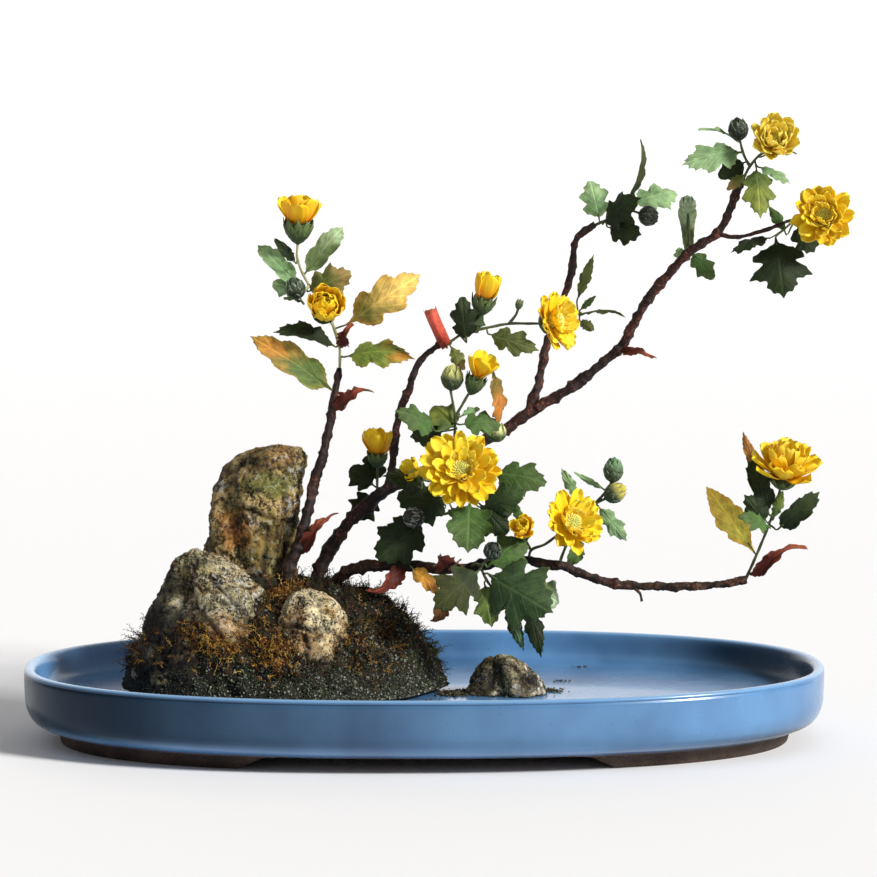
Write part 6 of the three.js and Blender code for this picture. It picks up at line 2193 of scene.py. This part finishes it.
@dataclass(frozen=True)
class Flowering:
    """All blooms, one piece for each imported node: rows of petals round a disc of florets."""

    layer: float = 0.85
    thickness: float = 0.17
    across: int = 8
    along: int = 10
    floret_turn: float = 2.39996
    base: str = "#F6AA0E"
    middle: str = "#FFD61C"
    tip: str = "#FFE640"
    back: tuple[str, str] = ("#EE9A12", "#FFD024")
    aged: str = "#F0940E"
    pale: str = "#FFF088"
    seat: str = "#C2C66C"
    florets: tuple[str, str] = ("#CFD47A", "#FFE466")
    seed: int = 71

    def build(self) -> None:
        """Builds the pieces."""
        petal = PetalSkin().material()
        floret = TintedMatter("disc_florets", size=0.6, roughness=0.65, depth=0.1, contrast=0.2).material()
        for number, bloom in enumerate(BLOOMS):
            assembly = Assembly(np.random.default_rng(self.seed + number))
            self.disc(assembly, bloom)
            for row, sizes in enumerate(bloom.rows):
                fine = PetalRow(*sizes) if bloom.cup else self.finer(PetalRow(*sizes))
                shown = replace(bloom, warm=bloom.warm - 0.06 * row)
                for i in range(fine.count):
                    self.petal(assembly, shown, fine, row, i)
            if bloom.disc > 3 and not bloom.cup:
                quills = PetalRow(round(bloom.disc * 5.2), bloom.disc * 0.8, 1.6, 64)
                paler = replace(bloom, warm=-0.7, close=0.1)
                for i in range(quills.count):
                    self.petal(assembly, paler, quills, len(bloom.rows), i)
            hand_over(assembly.build(f"{bloom.node}_petals", [petal, floret]), "petal", bloom.node)

    @staticmethod
    def finer(petals: PetalRow) -> PetalRow:
        """The same row with more and narrower petals."""
        return PetalRow(round(petals.count * 1.5), petals.length, petals.width * 0.8, petals.tilt)

    def petal(self, assembly: Assembly, bloom: Bloom, petals: PetalRow, row: int, i: int) -> None:
        """Moulds one spoon-shaped petal in its place, as the part's source places it.

        Args:
            assembly: Where it goes.
            bloom: The bloom.
            petals: Its row.
            row: The row's number.
            i: The petal's number in the row.
        """
        random, axis = assembly.random, bloom.axis
        east, north = cross_axes(axis)
        wobble = math.sin(i * 12.9898 + row * 78.233 + petals.length * 3.7)
        angle = (i + row * 0.5 + wobble * 0.12 + random.normal(0, 0.13)) / petals.count * 2 * math.pi
        lean = petals.tilt + wobble * 3 + (4 if i % 2 else -4)
        tilt = math.radians(lean + random.normal(0, 4) + 4 * bloom.cup)
        radial = east * math.cos(angle) + north * math.sin(angle)
        outwards = radial * math.cos(tilt) + axis * math.sin(tilt)
        inward = axis * math.cos(tilt) - radial * math.sin(tilt)
        spread = 0.8 * (0.3 + 0.45 * math.sin(tilt)) if row < len(bloom.rows) else 0.95
        root = np.array(bloom.seat) + radial * (bloom.disc * spread + bloom.cup)
        layer = self.layer * min(1, 2.4 / len(bloom.rows))
        root = root + axis * (0.7 + (row * 2 + i % 2) * layer - 0.35 * bloom.cup)
        across_way = np.cross(outwards, inward)
        length = petals.length * (1 + wobble * 0.05 + random.normal(0, 0.03))
        blank = sheet_blank(self.across, self.along)
        u = blank.points[:, 0]
        v = (blank.points[:, 1] + 1) / 2
        foot = 0.34 + 0.1 * bloom.cup
        opening = foot + (0.66 - 0.1 * bloom.cup) * np.sin(np.minimum(1, v / 0.55) * math.pi / 2) ** 1.1
        closing = np.sqrt(np.maximum(0.0, 1 - (np.maximum(0, v - 0.66) / 0.34) ** 2.4 * 0.82))
        notch = random.uniform(0.0, 0.045) * np.cos(u * math.pi) * v**6
        reach = v - 0.07 * u**2 * v**3 - notch
        side = u * petals.width / 2 * opening * closing * (1 + 0.07 * random.normal())
        curl = random.normal(0.0, 0.05) * length * np.maximum(0, v - 0.45) ** 1.5 * 2
        curve = bloom.close * length * v**2 + curl
        cup = 0.22 * petals.width * u**2 * (0.35 + 0.65 * v)
        groove = 0.04 * petals.width * np.cos(3 * math.pi * u) * np.sin(math.pi * v) ** 0.5
        wave = 0.06 * petals.width * np.sin(v * 8 + random.uniform(0, 6)) * np.abs(u) ** 3 * v
        lift = curve + cup + groove + wave + blank.points[:, 2] * self.thickness
        turn = random.normal(0, 0.17) * v
        sway = random.normal(0, 0.035) * length * v**2
        flat_side = side * np.cos(turn) - lift * np.sin(turn) + sway
        lift = side * np.sin(turn) + lift * np.cos(turn)
        points = root + np.outer(reach * length, outwards)
        points = points + np.outer(flat_side, across_way) + np.outer(lift, inward)
        tint = self.petal_tint(bloom, u, v, blank.points[:, 2], random)
        assembly.add(blank, points, tint, PETAL, np.column_stack([u, v]))

    def petal_tint(self, bloom: Bloom, u: Array, v: Array, face: Array, random: Random) -> Array:
        """The yellow of one petal: orange at its root and back, brightest along its middle and tip.

        Args:
            bloom: The bloom, which may be a warmer one.
            u: Where each point lies across.
            v: Where each point lies along.
            face: Above 0 on the inner side.
            random: Where its small differences come from.

        Returns:
            The linear colours.
        """
        tint = blend(shade(self.base), shade(self.middle), ease(v, 0.0, 0.4))
        tint = blend(tint, shade(self.tip), ease(v, 0.4, 1.0) * (1 - 0.4 * np.abs(u)))
        back = blend(*map(shade, self.back), ease(v, 0.05, 0.7))
        tint = np.where(face[:, None] < 0, back, tint)
        warm = bloom.warm + 0.35 * random.uniform(0, 1) ** 3
        tint = blend(tint, shade(self.aged), warm * (1 - 0.5 * v) + 0.25 * warm * np.abs(u))
        tint = blend(tint, shade(self.pale), -bloom.warm * (0.4 + 0.6 * v))
        return np.clip(tint * random.uniform(0.9, 1.05), 0, 1)

    def disc(self, assembly: Assembly, bloom: Bloom) -> None:
        """Moulds the domed seat of the petals and the florets that crowd it.

        Args:
            assembly: Where they go.
            bloom: The bloom.
        """
        random, axis = assembly.random, bloom.axis
        east, north = cross_axes(axis)
        seat = np.array(bloom.seat, float)
        height = 0.9 + 2 * self.layer * min(2.4, len(bloom.rows))
        body = ball_blank(*SMALL_BALL)
        lying = body.points * (bloom.disc * 0.9, bloom.disc * 0.9, (height + bloom.disc * 0.4) / 2)
        lying[:, 2] += (height + bloom.disc * 0.4) / 2
        turn = np.stack([east, north, axis])
        assembly.add(body, seat + lying @ turn, shade(self.seat), FLORET)
        blank = crumb_blank()
        count = round(11 + bloom.disc**2 * 3.2)
        centre, rim = map(shade, self.florets)
        for k in range(count):
            out = math.sqrt((k + 0.5) / count)
            angle = k * self.floret_turn
            radial = east * math.cos(angle) + north * math.sin(angle)
            way = unit(axis + radial * out * 0.7)
            size = 0.42 + 0.14 * out + random.uniform(-0.04, 0.06)
            level = height + bloom.disc * 0.42 * (1 - out**2)
            cross = cross_axes(way)
            shape = blank.points * (size, size, size * 1.9)
            place = seat + radial * bloom.disc * 0.95 * out + axis * level
            tint = blend(centre, rim, np.array(out**1.6)) * random.uniform(0.8, 1.12)
            assembly.add(blank, place + shape @ np.stack([*cross, way]), np.clip(tint, 0, 1), FLORET)


BLOOMS = (
    Bloom("bloom_top_left", (-53.4, 20.8, 218), (0.05, -0.1, 1), ((6, 11.5, 8.6, 50), (3, 9.5, 7, 66)),
          3.4, Calyx("spray_left", 6.4, 9.5), 0.1, 2.0, 0.06),
    Bloom("bloom_left", (-42.6, 11.4, 180.5), (0.12, -0.9, 0.45),
          ((8, 12.3, 8.8, 48), (7, 11.3, 7.6, 62), (6, 10, 6.4, 76), (4, 8.5, 5, 84)),
          3.2, Calyx("spray_left", 5, 5), 0.1, 1.2, 0.28),
    Bloom("bloom_high", (25.5, 7.7, 186.5), (0.25, -0.15, 0.95), ((5, 10, 8, 62), (2, 9, 6, 76)),
          2.6, Calyx("spray_high", 5.2, 8), 0.0, 1.6),
    Bloom("bloom_heart", (22, -3.5, 153.5), (0.35, -0.2, 0.95), ((5, 11, 7.8, 47),),
          1.8, Calyx("spray_wing", 4.4, 8), 0.0, 0.5, 0.1),
    Bloom("bloom_side", (52.9, 4.6, 176.8), (0.78, -0.58, 0.22), ((12, 12.5, 7.4, 12), (8, 9.5, 6.4, 42)),
          4.2, Calyx("spray_high", 5.4, 4.5)),
    Bloom("bloom_head", (145.7, -10.8, 252.3), (0.06, -0.9, 0.43),
          ((9, 12.3, 8, 36), (5, 10.5, 8, 54), (3, 8, 6.4, 70)),
          3.4, Calyx("spray_head", 4.8, 4.5), -0.5, 0.0, 0.2),
    Bloom("bloom_tip", (167.6, -10.6, 221.4), (-0.1, -0.95, 0.25),
          ((10, 13.2, 8.2, 16), (8, 11, 6.8, 38), (6, 8, 5.2, 60)),
          4.4, Calyx("spray_tip", 5.6, 4.5), -0.05, 0.0, 0.2),
    Bloom("bloom_back", (-19.8, 21, 118.4), (0.05, 0.1, 1), ((6, 10, 7.6, 42),),
          1.8, Calyx("spray_back", 4.2, 6), 0.2, 1.4),
    Bloom("bloom_front", (15.2, -18.6, 114.5), (0, -0.88, 0.47),
          ((13, 16.6, 8, 8), (10, 13.4, 7.2, 28), (5, 9.4, 5.8, 52)),
          5, Calyx("spray_front", 6, 4.5)),
    Bloom("bloom_hidden", (-3.4, 1.8, 111.5), (-0.6, -0.6, 0.5), ((5, 7.6, 6.2, 36),),
          2, Calyx("spray_front", 3.4, 3.6)),
    Bloom("bloom_right", (60.8, -10, 91.2), (0.42, -0.78, 0.46), ((11, 13.4, 7.6, 13), (7, 10, 6.6, 44)),
          4.6, Calyx("spray_pair", 5.8, 4.6)),
    Bloom("bloom_small", (41.2, -17.6, 89.6), (-0.05, -0.85, 0.5), ((6, 7.6, 5.6, 42), (6, 6.6, 4.6, 66)),
          2.4, Calyx("spray_pair", 3.6, 4), 0.1, 0.0, 0.3),
    Bloom("bloom_end", (150.8, -18, 112), (0.16, -0.35, 0.92),
          ((10, 15.5, 9.4, 26), (6, 13.5, 9.6, 48), (4, 12, 8.4, 68)),
          4.4, Calyx("spray_end", 5.6, 5)),
)


# the studio


@dataclass(frozen=True)
class Studio:
    """The camera at the photograph's angle, a pale floor that sweeps up behind, and soft light."""

    eye: Point = (-21.0, -1799.9, 301.0)
    pitch: float = 84.5
    yaw: float = -0.86
    lens: float = 175.0
    sensor: float = 36.0
    key_from: Point = (0.74, -0.5, 0.56)
    key_strength: float = 4.3
    key_softness: float = 12.0
    sky: str = "#F6F6F8"
    sky_strength: float = 0.3
    floor_size: float = 14.0
    wall_height: float = 6.0
    bend: float = 3.5

    def build(self) -> None:
        """Sets the camera, the floor and the lights."""
        self.place_camera()
        self.lay_floor()
        self.light()

    def place_camera(self) -> None:
        """Adds the scene's camera."""
        camera = bpy.data.cameras.new("photo_camera")
        camera.lens = self.lens
        camera.sensor_width = self.sensor
        eye = bpy.data.objects.new("photo_camera", camera)
        eye.location = (np.array(self.eye) * MM + MIDDLE).tolist()
        eye.rotation_euler = (math.radians(self.pitch), 0, math.radians(self.yaw))
        bpy.context.scene.collection.objects.link(eye)
        bpy.context.scene.camera = eye

    def lay_floor(self) -> None:
        """Lays the floor, and turns its far edge up into a wall through a wide curve."""
        floor = new_piece(bpy.ops.mesh.primitive_plane_add, "studio_floor", size=self.floor_size)
        with editing(floor) as mesh:
            bpy.ops.mesh.select_mode(type="EDGE")
            for edge in mesh.edges:
                edge.select_set(all(vertex.co.y > 1 for vertex in edge.verts))
            bpy.ops.mesh.extrude_region_move(TRANSFORM_OT_translate={"value": (0, 0, self.wall_height)})
            bpy.ops.mesh.select_all(action="DESELECT")
            for edge in mesh.edges:
                edge.select_set(all(vertex.co.y > 1 and vertex.co.z < 0.1 for vertex in edge.verts))
            bpy.ops.mesh.bevel(offset=self.bend, segments=32)
        bpy.ops.object.shade_smooth()
        floor.data.materials.append(PaleFloor().material())

    def light(self) -> None:
        """Adds the soft main light from the right and an even, slightly cool sky."""
        sun = bpy.data.lights.new("window_light", "SUN")
        sun.energy = self.key_strength
        sun.angle = math.radians(self.key_softness)
        sun.color = linear("#FFFDFA")[:3]
        lamp = bpy.data.objects.new("window_light", sun)
        lamp.rotation_euler = Vector(self.key_from).to_track_quat("Z", "Y").to_euler()
        bpy.context.scene.collection.objects.link(lamp)
        world = bpy.data.worlds.new("soft_studio")
        world.use_nodes = True
        background = world.node_tree.nodes["Background"]
        background.inputs[0].default_value = linear(self.sky)
        background.inputs[1].default_value = self.sky_strength
        bpy.context.scene.world = world
        bpy.context.scene.view_settings.view_transform = "Standard"


def main() -> None:
    """Builds the scene in order, from the studio and tray up to the blooms."""
    logging.basicConfig(level=logging.INFO, format="%(message)s")
    Studio().build()
    Tray().build()
    for stone in STONES:
        stone.build()
    Mound().build()
    Litter().build()
    Wood().build()
    Foliage().build()
    Flowering().build()


if __name__ == "__main__":
    main()
